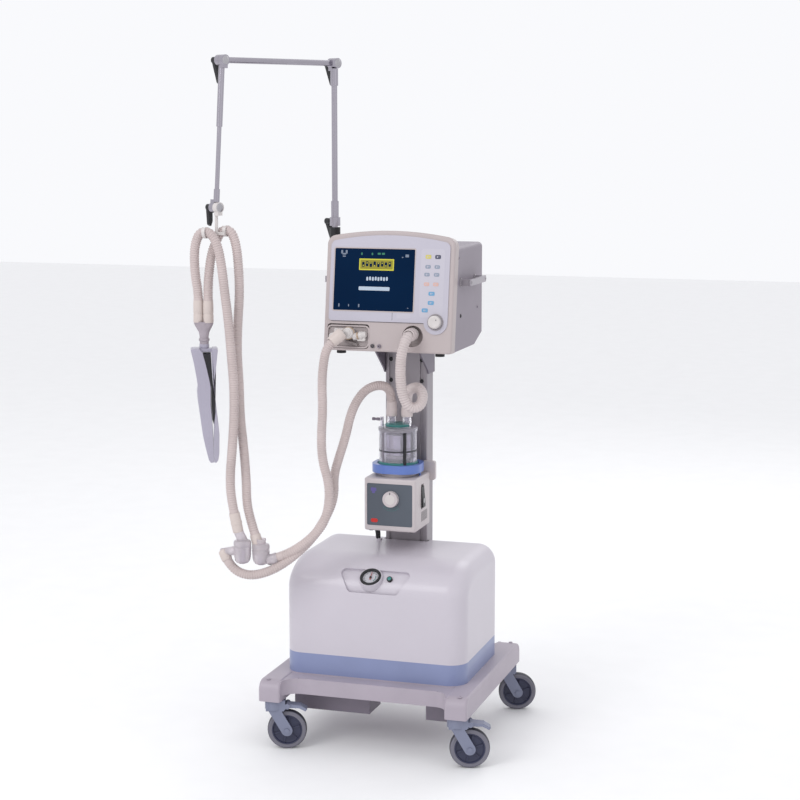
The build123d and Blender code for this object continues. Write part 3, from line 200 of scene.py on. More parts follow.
KEY_DARK = finish("key dark", (0.06, 0.065, 0.11), 0.4)
KNOB_RING = finish("knob ring", (0.33, 0.30, 0.32), 0.4)
FLOOR = finish("floor", (0.90, 0.90, 0.905), 0.75, vary=0.01, bump=0.02)


def paint(mat, *names):
    """Gives each CAD node the finish."""
    for name in names:
        obj = NODES[name]
        if not obj.material_slots:
            obj.data.materials.append(mat)
        for place in obj.material_slots:
            place.material = mat


CORNERS = {
    "front_left": (-240, -242),
    "front_right": (240, -242),
    "rear_left": (-240, 242),
    "rear_right": (240, 242),
}
paint(CHASSIS, "chassis")
paint(GREY_METAL, "underframe_boxes", "air_reservoir", "unit_bracket")
paint(BLUE_BAND, "base_band")
paint(WHITE, "compressor_cover")
paint(BLACK, "pressure_gauge", "compressor_button", "arm_clamp", "guard_lever")
paint(BLACK, "clamp_lever_post", "clamp_lever_boom", "clamp_lever_drop", "clamp_lever_hanger")
paint(NEEDLE, "gauge_needle")
paint(CAST, "compressor_pump")
paint(COLUMN, "column")
paint(HANDLE, "side_handles")
paint(CASE, "unit_case")
paint(BEZEL, "unit_bezel")
paint(PANEL, "display_panel", "membrane_keys")
paint(GLASS, "screen")
paint(WHITE_PLASTIC, "expiratory_valve", "inspiratory_port", "control_knob", "hose_hanger")
paint(RUBBER, "unit_feet", "humidifier_lead")
paint(BRASS, "rear_inlets", "knob_shaft")
paint(FITTING, "gas_module")
paint(BOARD, "control_board")
paint(CREAM, "humidifier_body", "humidifier_dial", "humidifier_bracket")
paint(CLEAR, "water_chamber", "y_piece")
paint(TEAL, "chamber_cap")
paint(GUARD, "chamber_guard")
paint(FROSTED, "water_traps")
paint(LUNG_PLATE, "test_lung")
paint(STEEL, "arm_riser", "arm_boom", "arm_drop")
for corner in CORNERS:
    paint(CASTER, "caster_fork_" + corner)
    paint(TREAD, "caster_wheel_" + corner)
paint(CASTER, "brake_pedal_front_left", "brake_pedal_front_right")


# ---------------------------------------------------------------- builders
def piece(name, verts, faces, mats, body, indices=None, bevel=0.0, angle=0.6):
    mesh = bpy.data.meshes.new(name)
    mesh.from_pydata([tuple(v) for v in verts], [], faces)
    for mat in mats if isinstance(mats, (list, tuple)) else [mats]:
        mesh.materials.append(mat)
    if indices:
        mesh.polygons.foreach_set("material_index", indices)
    mesh.update()
    obj = bpy.data.objects.new(name, mesh)
    bpy.context.collection.objects.link(obj)
    mesh.polygons.foreach_set("use_smooth", [True] * len(mesh.polygons))
    mesh.set_sharp_from_angle(angle=angle)
    if bevel:
        mod = obj.modifiers.new("edges", "BEVEL")
        mod.width = bevel * MM
        mod.segments = 3
        mod.limit_method = "ANGLE"
        mod.angle_limit = math.radians(35)
    if body:
        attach(obj, body)
    return obj


def basis(axis):
    """Two directions square to the axis, and the axis as a unit vector."""
    axis = Vector(axis).normalized()
    side = axis.cross(Vector(UP))
    if side.length < 0.1:
        side = Vector((1, 0, 0))
    side.normalize()
    return side, axis.cross(side).normalized(), axis


def lathe(name, profile, centre, axis, mats, body="root", picks=None, seg=56, angle=0.6):
    """Turned piece: profile is (radius, height) in mm along the axis from the centre, also in mm."""
    side, up, axis = basis(axis)
    centre = Vector(centre)
    verts, faces, indices, rows = [], [], [], []
    for radius, height in profile:
        if radius < 1e-6:
            rows.append([len(verts)] * seg)
            verts.append((centre + axis * height) * MM)
            continue
        rows.append(list(range(len(verts), len(verts) + seg)))
        for k in range(seg):
            turn = 2 * math.pi * k / seg
            out = side * math.cos(turn) + up * math.sin(turn)
            verts.append((centre + axis * height + out * radius) * MM)
    for i in range(len(rows) - 1):
        low, high = rows[i], rows[i + 1]
        for k in range(seg):
            n = (k + 1) % seg
            ring = list(dict.fromkeys((low[k], low[n], high[n], high[k])))
            if len(ring) > 2:
                faces.append(ring)
                indices.append(picks[i] if picks else 0)
    return piece(name, verts, faces, mats, body, indices=indices, angle=angle)


class Face:
    """Flat working face: origin in mm, directions across and up it, and its outward normal."""

    def __init__(self, origin, across, up):
        self.origin = Vector(origin)
        self.across = Vector(across).normalized()
        self.up = Vector(up).normalized()
        self.out = self.across.cross(self.up).normalized()

    def at(self, u, v, w=0.0):
        return self.origin + self.across * u + self.up * v + self.out * w


LEAN = math.radians(8)
GAUGE_LEAN = math.radians(36)
BUTTON_LEAN = math.radians(48)
UNIT = Face((0, -60, 1000), (1, 0, 0), (0, math.sin(LEAN), math.cos(LEAN)))
HUMID = Face((0, -35, 0), (1, 0, 0), UP)
GAUGE = Face((-10, -161, 443.5), (1, 0, 0), (0, math.cos(GAUGE_LEAN), math.sin(GAUGE_LEAN)))
BUTTON = Face((39, -156.5, 439.5), (1, 0, 0), (0, math.cos(BUTTON_LEAN), math.sin(BUTTON_LEAN)))
RIGHT = Face((166, 0, 0), (0, 1, 0), UP)
LEFT = Face((-166, 0, 0), (0, -1, 0), UP)
REAR = Face((0, 245, 0), (-1, 0, 0), UP)


def box_outline(width, height, radius=0.0, steps=6):
    """Corners of a rectangle, rounded when a radius is given."""
    if radius <= 0:
        w, h = width / 2, height / 2
        return [(-w, -h), (w, -h), (w, h), (-w, h)]
    points = []
    for k, (sx, sy) in enumerate(((1, -1), (1, 1), (-1, 1), (-1, -1))):
        cx, cy = sx * (width / 2 - radius), sy * (height / 2 - radius)
        start = -math.pi / 2 + k * math.pi / 2
        for i in range(steps + 1):
            turn = start + i * math.pi / 2 / steps
            points.append((cx + radius * math.cos(turn), cy + radius * math.sin(turn)))
    return points


def slabs(name, items, face, low, high, mats, body="root", radius=0.0, bevel=0.0):
    """Raised pads on a face; each item is (u, v, width, height) or (u, v, width, height, degrees)."""
    verts, faces = [], []
    for item in items:
        u, v, width, height = item[:4]
        turn = math.radians(item[4]) if len(item) > 4 else 0.0
        outline = box_outline(width, height, min(radius, width / 2.01, height / 2.01))
        first, count = len(verts), len(outline)
        for w in (low, high):
            for x, y in outline:
                a = u + x * math.cos(turn) - y * math.sin(turn)
                b = v + x * math.sin(turn) + y * math.cos(turn)
                verts.append(face.at(a, b, w) * MM)
        faces.append([first + count + k for k in range(count)])
        faces.append([first + count - 1 - k for k in range(count)])
        for k in range(count):
            n = (k + 1) % count
            faces.append([first + k, first + n, first + count + n, first + count + k])
    return piece(name, verts, faces, mats, body, bevel=bevel, angle=0.5)


def frame_ring(name, centre, outer, inner, radii, face, low, high, mats, body="root", bevel=0.0):
    """Flat rim between two rounded rectangles."""
    a = box_outline(*outer, radii[0])
    b = box_outline(*inner, radii[1])
    count = len(a)
    verts, faces = [], []
    for w in (low, high):
        for outline in (a, b):
            verts += [face.at(centre[0] + x, centre[1] + y, w) * MM for x, y in outline]
    for k in range(count):
        n = (k + 1) % count
        faces.append([2 * count + k, 2 * count + n, 3 * count + n, 3 * count + k])
        faces.append([k, count + k, count + n, n])
        faces.append([k, n, 2 * count + n, 2 * count + k])
        faces.append([count + n, count + k, 3 * count + k, 3 * count + n])
    return piece(name, verts, faces, mats, body, bevel=bevel, angle=0.5)


def screw(name, centre, axis, radius, body="root", mat=FITTING, high=1.6):
    """Socket screw with a domed rim."""
    profile = [(0, high * 0.35), (radius * 0.45, high * 0.35), (radius * 0.5, high), (radius * 0.85, high),
               (radius, high * 0.6), (radius, -0.4)]
    return lathe(name, profile, centre, axis, mat, body, seg=24, angle=0.5)


def spline_points(name, route, fineness):
    """Points along the smooth line through the route's control points."""
    curve = bpy.data.curves.new(name, "CURVE")
    curve.dimensions = "3D"
    curve.resolution_u = fineness
    line = curve.splines.new("NURBS")
    line.points.add(len(route) - 1)
    for point, place in zip(line.points, route):
        point.co = (*place, 1)
    line.order_u = 3
    line.use_endpoint_u = True
    holder = bpy.data.objects.new(name, curve)
    bpy.context.collection.objects.link(holder)
    mesh = bpy.data.meshes.new_from_object(holder)
    points = [v.co.copy() for v in mesh.vertices]
    bpy.data.meshes.remove(mesh)
    bpy.data.objects.remove(holder)
    bpy.data.curves.remove(curve)
    return points


def run_lengths(points):
    """Length along the line up to each point."""
    total, out = 0.0, [0.0]
    for a, b in zip(points, points[1:]):
        total += (b - a).length
        out.append(total)
    return out


def sweep(name, points, radii, mat, body, seg=20):
    """Round tube with its own radius at each point, on frames that don't twist."""
    tangents = []
    for i in range(len(points)):
        tangents.append((points[min(i + 1, len(points) - 1)] - points[max(i - 1, 0)]).normalized())
    side, up, _ = basis(tangents[0])
    verts, faces = [], []
    for i, (point, radius) in enumerate(zip(points, radii)):
        side = (side - tangents[i] * side.dot(tangents[i])).normalized()
        up = tangents[i].cross(side)
        for k in range(seg):
            turn = 2 * math.pi * k / seg
            verts.append(point + (side * math.cos(turn) + up * math.sin(turn)) * radius)
        if i:
            low, high = (i - 1) * seg, i * seg
            for k in range(seg):
                n = (k + 1) % seg
                faces.append([low + k, low + n, high + n, high + k])
    faces.append(list(range(seg))[::-1])
    last = (len(points) - 1) * seg
    faces.append([last + k for k in range(seg)])
    return piece(name, verts, faces, mat, body, angle=1.4)


def ribbed(runs, radius, pitch, depth, plain):
    """Radii of a corrugated hose with plain ends."""
    out = []
    total = runs[-1]
    for run in runs:
        wave = 0.5 - 0.5 * math.cos(2 * math.pi * run / pitch)
        ease = min(1.0, max(0.0, (min(run, total - run) - plain) / 0.004))
        out.append(radius - depth * (1 - wave ** 0.7) * ease - 0.0004 * (1 - ease))
    return out


# ---------------------------------------------------------------- hoses and lead
HOSE_RADIUS = 0.012
HOSE_PITCH = 0.0058
HOSE_DEPTH = 0.0016
LEAD_RADIUS = 0.0035
DRY_HOSE = (
    (0.067, -0.070, 1.047), (0.067, -0.098, 1.047), (0.056, -0.108, 1.010), (0.051, -0.104, 0.975),
    (0.050, -0.100, 0.935), (0.054, -0.096, 0.897), (0.069, -0.088, 0.864), (0.092, -0.070, 0.866),
    (0.096, -0.052, 0.893), (0.077, -0.034, 0.912), (0.051, -0.016, 0.903), (0.033, 0.014, 0.888),
    (0.024, 0.038, 0.866), (0.024, 0.038, 0.828))
INSPIRATORY_LOWER = (
    (-0.017, 0.038, 0.828), (-0.017, 0.038, 0.868), (-0.020, 0.022, 0.898), (-0.040, -0.002, 0.908),
    (-0.066, -0.026, 0.898), (-0.084, -0.048, 0.870), (-0.092, -0.074, 0.836), (-0.096, -0.096, 0.788),
    (-0.106, -0.116, 0.740), (-0.114, -0.140, 0.692), (-0.104, -0.164, 0.645), (-0.113, -0.188, 0.602),
    (-0.142, -0.220, 0.545), (-0.185, -0.250, 0.500), (-0.232, -0.276, 0.468), (-0.285, -0.290, 0.454),
    (-0.332, -0.290, 0.470), (-0.349, -0.285, 0.498))
EXPIRATORY_LOWER = (
    (-0.118, -0.104, 1.036), (-0.136, -0.120, 1.018), (-0.143, -0.130, 0.980), (-0.145, -0.138, 0.925),
    (-0.139, -0.148, 0.860), (-0.139, -0.162, 0.790), (-0.131, -0.176, 0.735), (-0.108, -0.192, 0.684),
    (-0.101, -0.210, 0.632), (-0.112, -0.224, 0.582), (-0.148, -0.240, 0.541), (-0.195, -0.256, 0.509),
    (-0.228, -0.264, 0.498))
INSPIRATORY_UPPER = (
    (-0.324, -0.284, 0.604), (-0.333, -0.286, 0.650), (-0.334, -0.288, 0.705), (-0.327, -0.289, 0.770),
    (-0.320, -0.290, 0.850), (-0.319, -0.290, 0.930), (-0.325, -0.291, 1.010), (-0.331, -0.291, 1.090),
    (-0.340, -0.291, 1.160), (-0.347, -0.291, 1.225), (-0.357, -0.291, 1.277), (-0.375, -0.291, 1.308),
    (-0.403, -0.291, 1.308), (-0.416, -0.291, 1.280), (-0.420, -0.290, 1.245), (-0.419, -0.286, 1.195),
    (-0.415, -0.280, 1.161), (-0.415, -0.280, 1.131))
EXPIRATORY_UPPER = (
    (-0.276, -0.265, 0.548), (-0.291, -0.261, 0.590), (-0.303, -0.257, 0.632), (-0.304, -0.255, 0.690),
    (-0.310, -0.254, 0.770), (-0.319, -0.254, 0.850), (-0.320, -0.254, 0.930), (-0.325, -0.254, 1.010),
    (-0.322, -0.254, 1.085), (-0.316, -0.254, 1.155), (-0.318, -0.254, 1.225), (-0.323, -0.255, 1.278),
    (-0.336, -0.255, 1.311), (-0.362, -0.255, 1.311), (-0.376, -0.257, 1.282), (-0.386, -0.264, 1.250),
    (-0.390, -0.272, 1.200), (-0.389, -0.280, 1.161), (-0.389, -0.280, 1.131))
LEAD_ROUTE = (
    (-0.048, 0.008, 0.527), (-0.048, 0.008, 0.510), (-0.053, 0.026, 0.499), (-0.060, 0.052, 0.502),
    (-0.066, 0.076, 0.510), (-0.068, 0.088, 0.502), (-0.068, 0.088, 0.485))
for name, x in (("inspiratory", -415), ("expiratory", -389)):
    lathe(f"y_sleeve_{name}", [(9, 1085), (12.2, 1085), (12.8, 1086), (12.8, 1104),
                                               (12.2, 1105), (12.2, 1108), (12.8, 1109), (12.8, 1130),
                                               (12.3, 1136), (12.05, 1140)], (x, -280, 0), UP, CREAM_CUFF,
                          "hanger", seg=56)
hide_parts("y_piece")
JOINT_LEVELS = (0.0, 0.19, 0.36, 0.53, 0.70)


def fixed_hose(name, node, route, radius, mat, pitch, depth):
    """Hose between two ports on the trolley and unit, with plain ends."""
    points = spline_points(name, route, 80)
    runs = run_lengths(points)
    radii = ribbed(runs, radius, pitch, depth, 0.02)
    hose = sweep(name, points, radii, mat, "root", seg=24)
    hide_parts(node)


def arm_hose(name, node, route):
    """Hose that hangs from the arm: five lengths cut at the joint levels along it; the last one rides on the
    hanger.
    """
    points = spline_points(name, route, 80)
    runs = run_lengths(points)
    radii = ribbed(runs, HOSE_RADIUS, HOSE_PITCH, HOSE_DEPTH, 0.012)
    cuts = [min(range(len(runs)), key=lambda i: abs(runs[i] - level)) for level in JOINT_LEVELS]
    cuts.append(len(points) - 1)
    for k in range(5):
        part = points[cuts[k]:cuts[k + 1] + 1]
        body = "hanger" if k == 4 else None
        obj = sweep(f"{name}_{k + 1}", part, radii[cuts[k]:cuts[k + 1] + 1], HOSE, body, seg=24)
        if k < 4:
            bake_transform(obj)
        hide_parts(node)
        run_lengths(part)[-1]


fixed_hose("dry_hose_tube", "dry_hose", DRY_HOSE, 0.0135, HOSE_WHITE, 0.0062, 0.0017)
fixed_hose("inspiratory_lower_tube", "inspiratory_hose_lower", INSPIRATORY_LOWER, HOSE_RADIUS, HOSE,
           HOSE_PITCH, HOSE_DEPTH)
fixed_hose("expiratory_lower_tube", "expiratory_hose_lower", EXPIRATORY_LOWER, HOSE_RADIUS, HOSE,
           HOSE_PITCH, HOSE_DEPTH)
arm_hose("inspiratory_upper", "inspiratory_hose_upper", INSPIRATORY_UPPER)
arm_hose("expiratory_upper", "expiratory_hose_upper", EXPIRATORY_UPPER)

lead_points = spline_points("lead", LEAD_ROUTE, 20)
lead_runs = run_lengths(lead_points)
lead = sweep("heater_lead", lead_points, [LEAD_RADIUS] * len(lead_points), RUBBER, "root", seg=16)
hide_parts("humidifier_lead")
lathe("lead_relief", [(0, -1), (5.5, -1), (6, 0), (6, 2), (5.2, 3), (5.2, 5), (4.4, 6), (4.4, 9),
                      (3.8, 10), (3.6, 13)], (-48, 8, 528), (0, 0, -1), BLACK, seg=28)


# ---------------------------------------------------------------- casters
HEADING = math.radians(17.5)
CASTER_TRAIL = 32
TRAIL = (math.cos(HEADING), math.sin(HEADING))
AXLE = (-math.sin(HEADING), math.cos(HEADING), 0)
wheel_half = [(6.3, 12.6), (13, 12.6), (14, 12), (15, 8.5), (31, 7.5), (34, 8.5), (35.5, 12), (37.5, 12.6),
              (38.5, 11.5), (39.5, 11.6), (45.5, 12.2), (48.2, 10.5), (49.6, 7), (50, 3)]
wheel_profile = [(r, -h) for r, h in wheel_half] + [(r, h) for r, h in reversed(wheel_half)]
half_picks = [0, 0, 0, 0, 0, 0, 0, 0, 1, 1, 1, 2, 2]
wheel_picks = half_picks + [2] + half_picks[::-1]
for corner, (x, y) in CORNERS.items():
    axle_x, axle_y = x + CASTER_TRAIL * TRAIL[0], y + CASTER_TRAIL * TRAIL[1]
    wheel = lathe("wheel_" + corner + "_tyre_and_hub", wheel_profile + [wheel_profile[0]],
                  (axle_x, axle_y, 50), AXLE, [HUB, TREAD_SIDE, TREAD], "wheel_" + corner,
                  picks=wheel_picks + [0], seg=72, angle=0.5)
    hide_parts("caster_wheel_" + corner)
    for side, sign in (("inner", -1), ("outer", 1)):
        face = Face((axle_x, axle_y, 50), (sign * TRAIL[0], sign * TRAIL[1], 0), UP)
        spokes = []
        for k in range(6):
            turn = 2 * math.pi * k / 6 + 0.3
            spokes.append((23.5 * math.cos(turn), 23.5 * math.sin(turn), 21, 4, math.degrees(turn)))
        slabs(f"wheel_{corner}_ribs_{side}", spokes, face, 7.2, 10.8, HUB,
              "wheel_" + corner, radius=1, bevel=0.5)
        lathe(f"caster_{corner}_axle_nut_{side}",
              [(0, 22.6), (4.2, 22.6), (4.6, 22.2), (4.6, 19.4)],
              (axle_x, axle_y, 50), [sign * c for c in AXLE], FITTING, "caster_" + corner, seg=6, angle=0.4)
    lathe("caster_" + corner + "_swivel_ring", [(20.5, 126.9), (21.5, 126.4), (21.5, 124.6), (20.5, 124.1),
                                              (12, 124.1)], (x, y, 0), UP, FITTING, "caster_" + corner)

# ---------------------------------------------------------------- trolley trim
for corner, (x, y) in CORNERS.items():
    screw("chassis_corner_screw_" + corner, (x * 1.045, y * 1.045, 182), UP, 5.5, mat=CHASSIS)
slabs("chassis_joint_lines", [(-183, 161, 1.1, 40), (183, 161, 1.1, 40)],
      Face((0, -220, 0), (1, 0, 0), UP), -0.4, 0.12, DARK_LINE)

# ---------------------------------------------------------------- compressor gauge and its panel
lathe("gauge_bezel", [(20.6, -3.6), (20.6, 0.4), (21.6, 1.0), (25.6, 1.0), (26.9, 0.2), (26.9, -3.6)],
      GAUGE.origin, GAUGE.out, BLACK, seg=72, angle=0.5)
lathe("gauge_dial", [(1.3, -4.4), (20.4, -4.4), (20.4, -4.9)], GAUGE.origin, GAUGE.out, DIAL_WHITE,
      seg=72)
ticks = []
for k in range(28):
    turn = math.radians(-135 + 10 * k)
    long = 4.4 if k % 3 == 0 else 2.6
    r = 18.6 - long / 2
    ticks.append((r * math.sin(turn), r * math.cos(turn), 0.7 if k % 3 else 1.1, long, -math.degrees(turn)))
slabs("gauge_ticks", ticks, GAUGE, -4.45, -4.2, DARK_LINE)
band = []
for k in range(9):
    turn = math.radians(60 + 9 * k)
    band.append((12.6 * math.sin(turn), 12.6 * math.cos(turn), 2.2, 1.6, -math.degrees(turn)))
slabs("gauge_green_band", band, GAUGE, -4.45, -4.25, TEAL)
lathe("gauge_hub", [(0, -0.7), (2.4, -0.9), (3.2, -1.55)], GAUGE.origin, GAUGE.out, BLACK, "gauge_needle",
      seg=32)
lathe("button_cap", [(0, 3.6), (3.4, 3.55), (4.6, 3.1), (5.0, 2.95)], BUTTON.origin, BUTTON.out, TEAL,
      "compressor_button", seg=40)

# ---------------------------------------------------------------- column
for k, z in enumerate((560, 590, 850, 905, 960)):
    for side, x in (("left", -42), ("right", 42)):
        lathe(f"column_bolt_{side}_{k}", [(0, 0.3), (2.4, 0.3), (2.8, 1.5), (4.4, 1.5), (5.2, 0.6),
                                          (5.2, -0.4)], (x, 110, z), (0, -1, 0), BLACK, seg=24)
slabs("column_end_cap", [(0, 137, 110, 50)], Face((0, 0, 990), (1, 0, 0), (0, 1, 0)), -1.0, 1.2, BLACK,
      radius=3, bevel=0.5)

# ---------------------------------------------------------------- main unit: screen picture
slabs("screen_banner", [(-35, 219.5, 92, 29)], UNIT, 1.5, 1.72, YELLOW, radius=1)
slabs("screen_banner_inset", [(-35, 219.5, 86, 23)], UNIT, 1.6, 1.8, YELLOW_SHADE, radius=1)
slabs("screen_banner_marks", [(-70 + 10 * k, 220 + (1.0 if k % 2 else -0.6), 6.4,
                               12.5) for k in range(8)], UNIT, 1.7, 1.88, GLASS, radius=2)
slabs("screen_banner_gaps", [(-70 + 10 * k, 220 + (3.2 if k % 3 else -3.4), 2.6, 3.2) for k in range(8)],
      UNIT, 1.8, 1.94, YELLOW, radius=1)
slabs("screen_caption_marks", [(-58 + 7.4 * k, 183.4 + (0.8 if k % 2 else 0), 5.0,
                                9.5) for k in range(8)], UNIT, 1.5, 1.75, SCREEN_WHITE, radius=2)
slabs("screen_progress_bar", [(-39, 158.8, 82, 9.5)], UNIT, 1.5, 1.75, SCREEN_WHITE, radius=2)
slabs("screen_top_marks", [(-75, 246, 4, 6), (-47, 246, 4, 6), (-29, 247, 8, 5), (-18, 247, 8, 5)], UNIT,
      1.5, 1.75, SCREEN_GREEN, radius=1)
slabs("screen_corner_marks", [(-128, 250, 5, 9), (-116, 250, 5, 9), (-122, 245, 10, 4), (-122, 239, 8, 3),
                              (45, 243, 9, 7), (33, 239, 4, 2.5), (-131, 115, 3.5, 8),
                              (-105, 115, 2.5, 6), (-78, 115, 3.5, 8), (52, 112, 4, 1.5)], UNIT, 1.5,
      1.72, SCREEN_GREY, radius=1)
frame_ring("screen_surround", (-40, 181), (217.5, 162.5), (211.5, 156.5), (4, 2.5), UNIT, 1.4, 2.9, BEZEL,
           bevel=0.5)
slabs("panel_groove", [(12, 92.5, 0.9, 24)], UNIT, 2.3, 2.62, DARK_LINE)
slabs("panel_soft_key", [(42, 92, 36, 13)], UNIT, 2.3, 2.75, KEY_FIELD, radius=3)
slabs("panel_step_shadow", [(-26, 74.8, 250, 1.8)], UNIT, -0.3, 0.25, STEP_SHADOW, radius=0.8)
slabs("panel_key_field", [(113, 176, 62, 172)], UNIT, 2.3, 2.66, KEY_FIELD, radius=8)

# ---------------------------------------------------------------- keys
first_keys = slabs("key_yellow", [(101, 242, 15, 10)], UNIT, 2.5, 3.2, KEY_YELLOW, radius=3, bevel=0.3)
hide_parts("membrane_keys")
slabs("key_dark", [(126, 242, 15, 10)], UNIT, 2.5, 3.2, KEY_DARK, radius=3, bevel=0.3)
slabs("keys_grey", [(101, 217, 14, 9), (125, 217, 14, 9), (99, 197.5, 14, 9), (124, 197.5, 14, 9)], UNIT,
      2.5, 3.2, KEY_GREY, radius=3, bevel=0.3)
slabs("keys_pink", [(99, 173.5, 14, 9), (123, 173.5, 14, 9)], UNIT, 2.5, 3.2, KEY_PINK, radius=3,
      bevel=0.3)
slabs("keys_blue", [(113, 150, 16, 10), (112, 127, 16, 10), (97, 108, 16, 10)], UNIT, 2.5, 3.2, KEY_BLUE,
      radius=3, bevel=0.3)
key_icons = []
KEY_PLACES = ((101, 242), (126, 242), (101, 217), (125, 217), (99, 197.5), (124, 197.5), (99, 173.5),
              (123, 173.5), (113, 150), (112, 127), (97, 108))
for u, v in KEY_PLACES:
    key_icons += [(u - 1.6, v, 2.4, 4.2), (u + 2.2, v + 0.6, 1.8, 1.8)]
slabs("key_icons", key_icons, UNIT, 3.1, 3.28, PANEL, radius=0.8)

# ---------------------------------------------------------------- knob
KNOB = UNIT.at(126, 79)
GRIPS = 24
lathe("knob_ring", [(17.9, 2.4), (17.9, 3.4), (18.5, 3.9), (20.2, 3.9), (21, 3.2), (21.2, 2.4)], KNOB,
      UNIT.out, KNOB_RING, seg=72)
knob_profile = [(3.2, 4.4), (16.6, 4.4), (17, 5.2), (16.2, 14.8), (15.2, 16.8), (13.4, 17.6), (10.5, 17.3),
                (8.5, 16.9), (0, 16.8)]
knob = lathe("knob_cap", knob_profile, KNOB, UNIT.out, WHITE_PLASTIC, "control_knob", seg=72)
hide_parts("control_knob")
grip_verts, grip_faces = [], []
for k in range(GRIPS):
    turn = 2 * math.pi * k / GRIPS
    first = len(grip_verts)
    radial = UNIT.across * math.cos(turn) + UNIT.up * math.sin(turn)
    tangent = radial.cross(UNIT.out)
    for w, r in ((6, 17.3), (14.4, 16.5)):
        for t, extra in ((-0.9, -0.6), (0, 0.25), (0.9, -0.6)):
            grip_verts.append((KNOB + UNIT.out * w + radial * (r + extra) + tangent * t) * MM)
    grip_faces += [[first, first + 1, first + 4, first + 3], [first + 1, first + 2, first + 5, first + 4],
                   [first, first + 2, first + 1], [first + 3, first + 4, first + 5],
                   [first, first + 3, first + 5, first + 2]]
piece("knob_grip_ribs", grip_verts, grip_faces, WHITE_PLASTIC, "control_knob")
slabs("knob_dimple_mark", [(131, 84, 2.4, 2.4)], UNIT, 16.8, 17.5, DARK_LINE, "control_knob", radius=1.2)

# ---------------------------------------------------------------- case details
for side, face, sign in (("right", RIGHT, 1), ("left", LEFT, -1)):
    screw(f"case_screw_{side}_low", face.at(sign * 38, 1087), face.out, 5, mat=BLACK)
    screw(f"case_screw_{side}_rear", face.at(sign * 200, 1095), face.out, 4, mat=CASE)
    screw(f"case_screw_{side}_top", face.at(sign * 20, 1235), face.out, 4, mat=CASE)
    for k, y in enumerate((38, 172)):
        lathe(f"handle_boss_{side}_{k}", [(11, -0.4), (11, 1.6), (9.4, 3.0), (5.6, 3.0)],
              face.at(sign * y, 1172), face.out, COLUMN, seg=36)
        screw(f"handle_screw_{side}_{k}", (sign * 195.6, y, 1172), (sign, 0, 0), 3.6, high=1.2)
slabs("rear_vents", [(-92 + 8 * k, 1170, 3.6, 60) for k in range(24)], REAR, -0.3, 0.5, DARK_LINE,
      radius=1.7)
frame_ring("rear_vent_frame", (0, 1170), (206, 76), (198, 68), (6, 4), REAR, -0.3, 1.4, CASE, bevel=0.4)
for k, (x, z) in enumerate(((-150, 1020), (150, 1020), (-150, 1245), (150, 1245))):
    screw(f"rear_screw_{k}", (x, 245, z), (0, 1, 0), 4)
lathe("oxygen_inlet_collar", [(7.2, 8.2), (11.4, 8.2), (12, 8.8), (12, 10.6), (11, 11.4), (7.2, 11.4)],
      (-90, 245, 1080), (0, 1, 0), WHITE_PLASTIC, seg=36)
lathe("air_inlet_collar", [(9.6, 8.2), (13.6, 8.2), (14.2, 8.8), (14.2, 10.6), (13.2, 11.4), (9.6, 11.4)],
      (-40, 245, 1080), (0, 1, 0), BLACK, seg=36)
slabs("mains_socket_pins", [(-70, 1083.6, 2.2, 6), (-77, 1078, 2.2, 6), (-63, 1078, 2.2, 6)], REAR, 0.2,
      9.0, FITTING, radius=0.8)

# ---------------------------------------------------------------- breathing ports on the unit
frame_ring("valve_bay_rim", (-104, 36), (114, 58), (107, 50), (13, 10), UNIT, -4.4, 0.5, BEZEL, bevel=0.5)
# The base plate's grey is painted shade for the recess around the valve.
base = slabs("valve_base_plate", [(-104, 36, 106.4, 49.4)], UNIT, -29.5, -4.0, VALVE_BAY_SHADE, radius=9.7,
             bevel=0.8)
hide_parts("expiratory_valve")
slabs("valve_block", [(-124, 48, 30, 16), (-66, 30, 22, 10)], UNIT, -5, 9, WHITE_PLASTIC, radius=4,
      bevel=1.5)
outlet = Face(UNIT.at(-86, 36, 7), UNIT.across * math.cos(0.2) + UNIT.up * math.sin(0.2), UNIT.out)
lathe("valve_side_tube", [(0, -3), (7, -2.6), (9.2, -0.5), (9.2, 7), (8, 8), (8, 15), (10, 16), (10, 22),
                          (8.8, 23.5), (8.2, 31), (6.6, 33.4), (0, 34)], outlet.origin, outlet.across,
      WHITE_PLASTIC)
lathe("valve_side_tube_ring", [(8.1, 9.6), (9.3, 10), (9.3, 13), (8.1, 13.4)], outlet.origin,
      outlet.across, AMBER)
lathe("valve_turn_knob", [(0, 14.7), (5, 14.7), (6, 15.4), (8.8, 15.2), (10.6, 13.8), (11, 2), (11, -5)],
      UNIT.at(-140, 34), UNIT.out, WHITE_PLASTIC)
slabs("valve_lower_clip", [(-92, 20, 34, 7, -16)], UNIT, -5, 8, DARK_TRIM, radius=3, bevel=1)
lathe("valve_dome", [(0, 25.8), (6, 25.6), (8.5, 24.4), (9.4, 22), (12.8, 21), (14.4, 18), (14.4, 6),
                     (15.2, 5.2), (15.2, 2.0)], UNIT.at(-99, 44), UNIT.out, WHITE_PLASTIC)
lathe("valve_dome_clip", [(14.6, 9), (16.2, 9.6), (16.2, 12.8), (14.6, 13.4)], UNIT.at(-99, 44), UNIT.out,
      AMBER)
slabs("valve_latch", [(-126, 48, 22, 8)], UNIT, 3, 12.5, WHITE_PLASTIC, radius=3, bevel=0.8)
lathe("sensor_port_a", [(2.1, 5.2), (4.6, 5.2), (4.8, 4.6), (4.8, -0.3)], UNIT.at(-37, 14), UNIT.out,
      DARK_LINE, seg=28)
lathe("sensor_port_b", [(2.1, 5.2), (4.6, 5.2), (4.8, 4.6), (4.8, -0.3)], UNIT.at(-19, 14), UNIT.out,
      GREY_METAL, seg=28)
valve_axis = (Vector((-136, -120, 1018)) - Vector((-118, -104, 1036))).normalized()
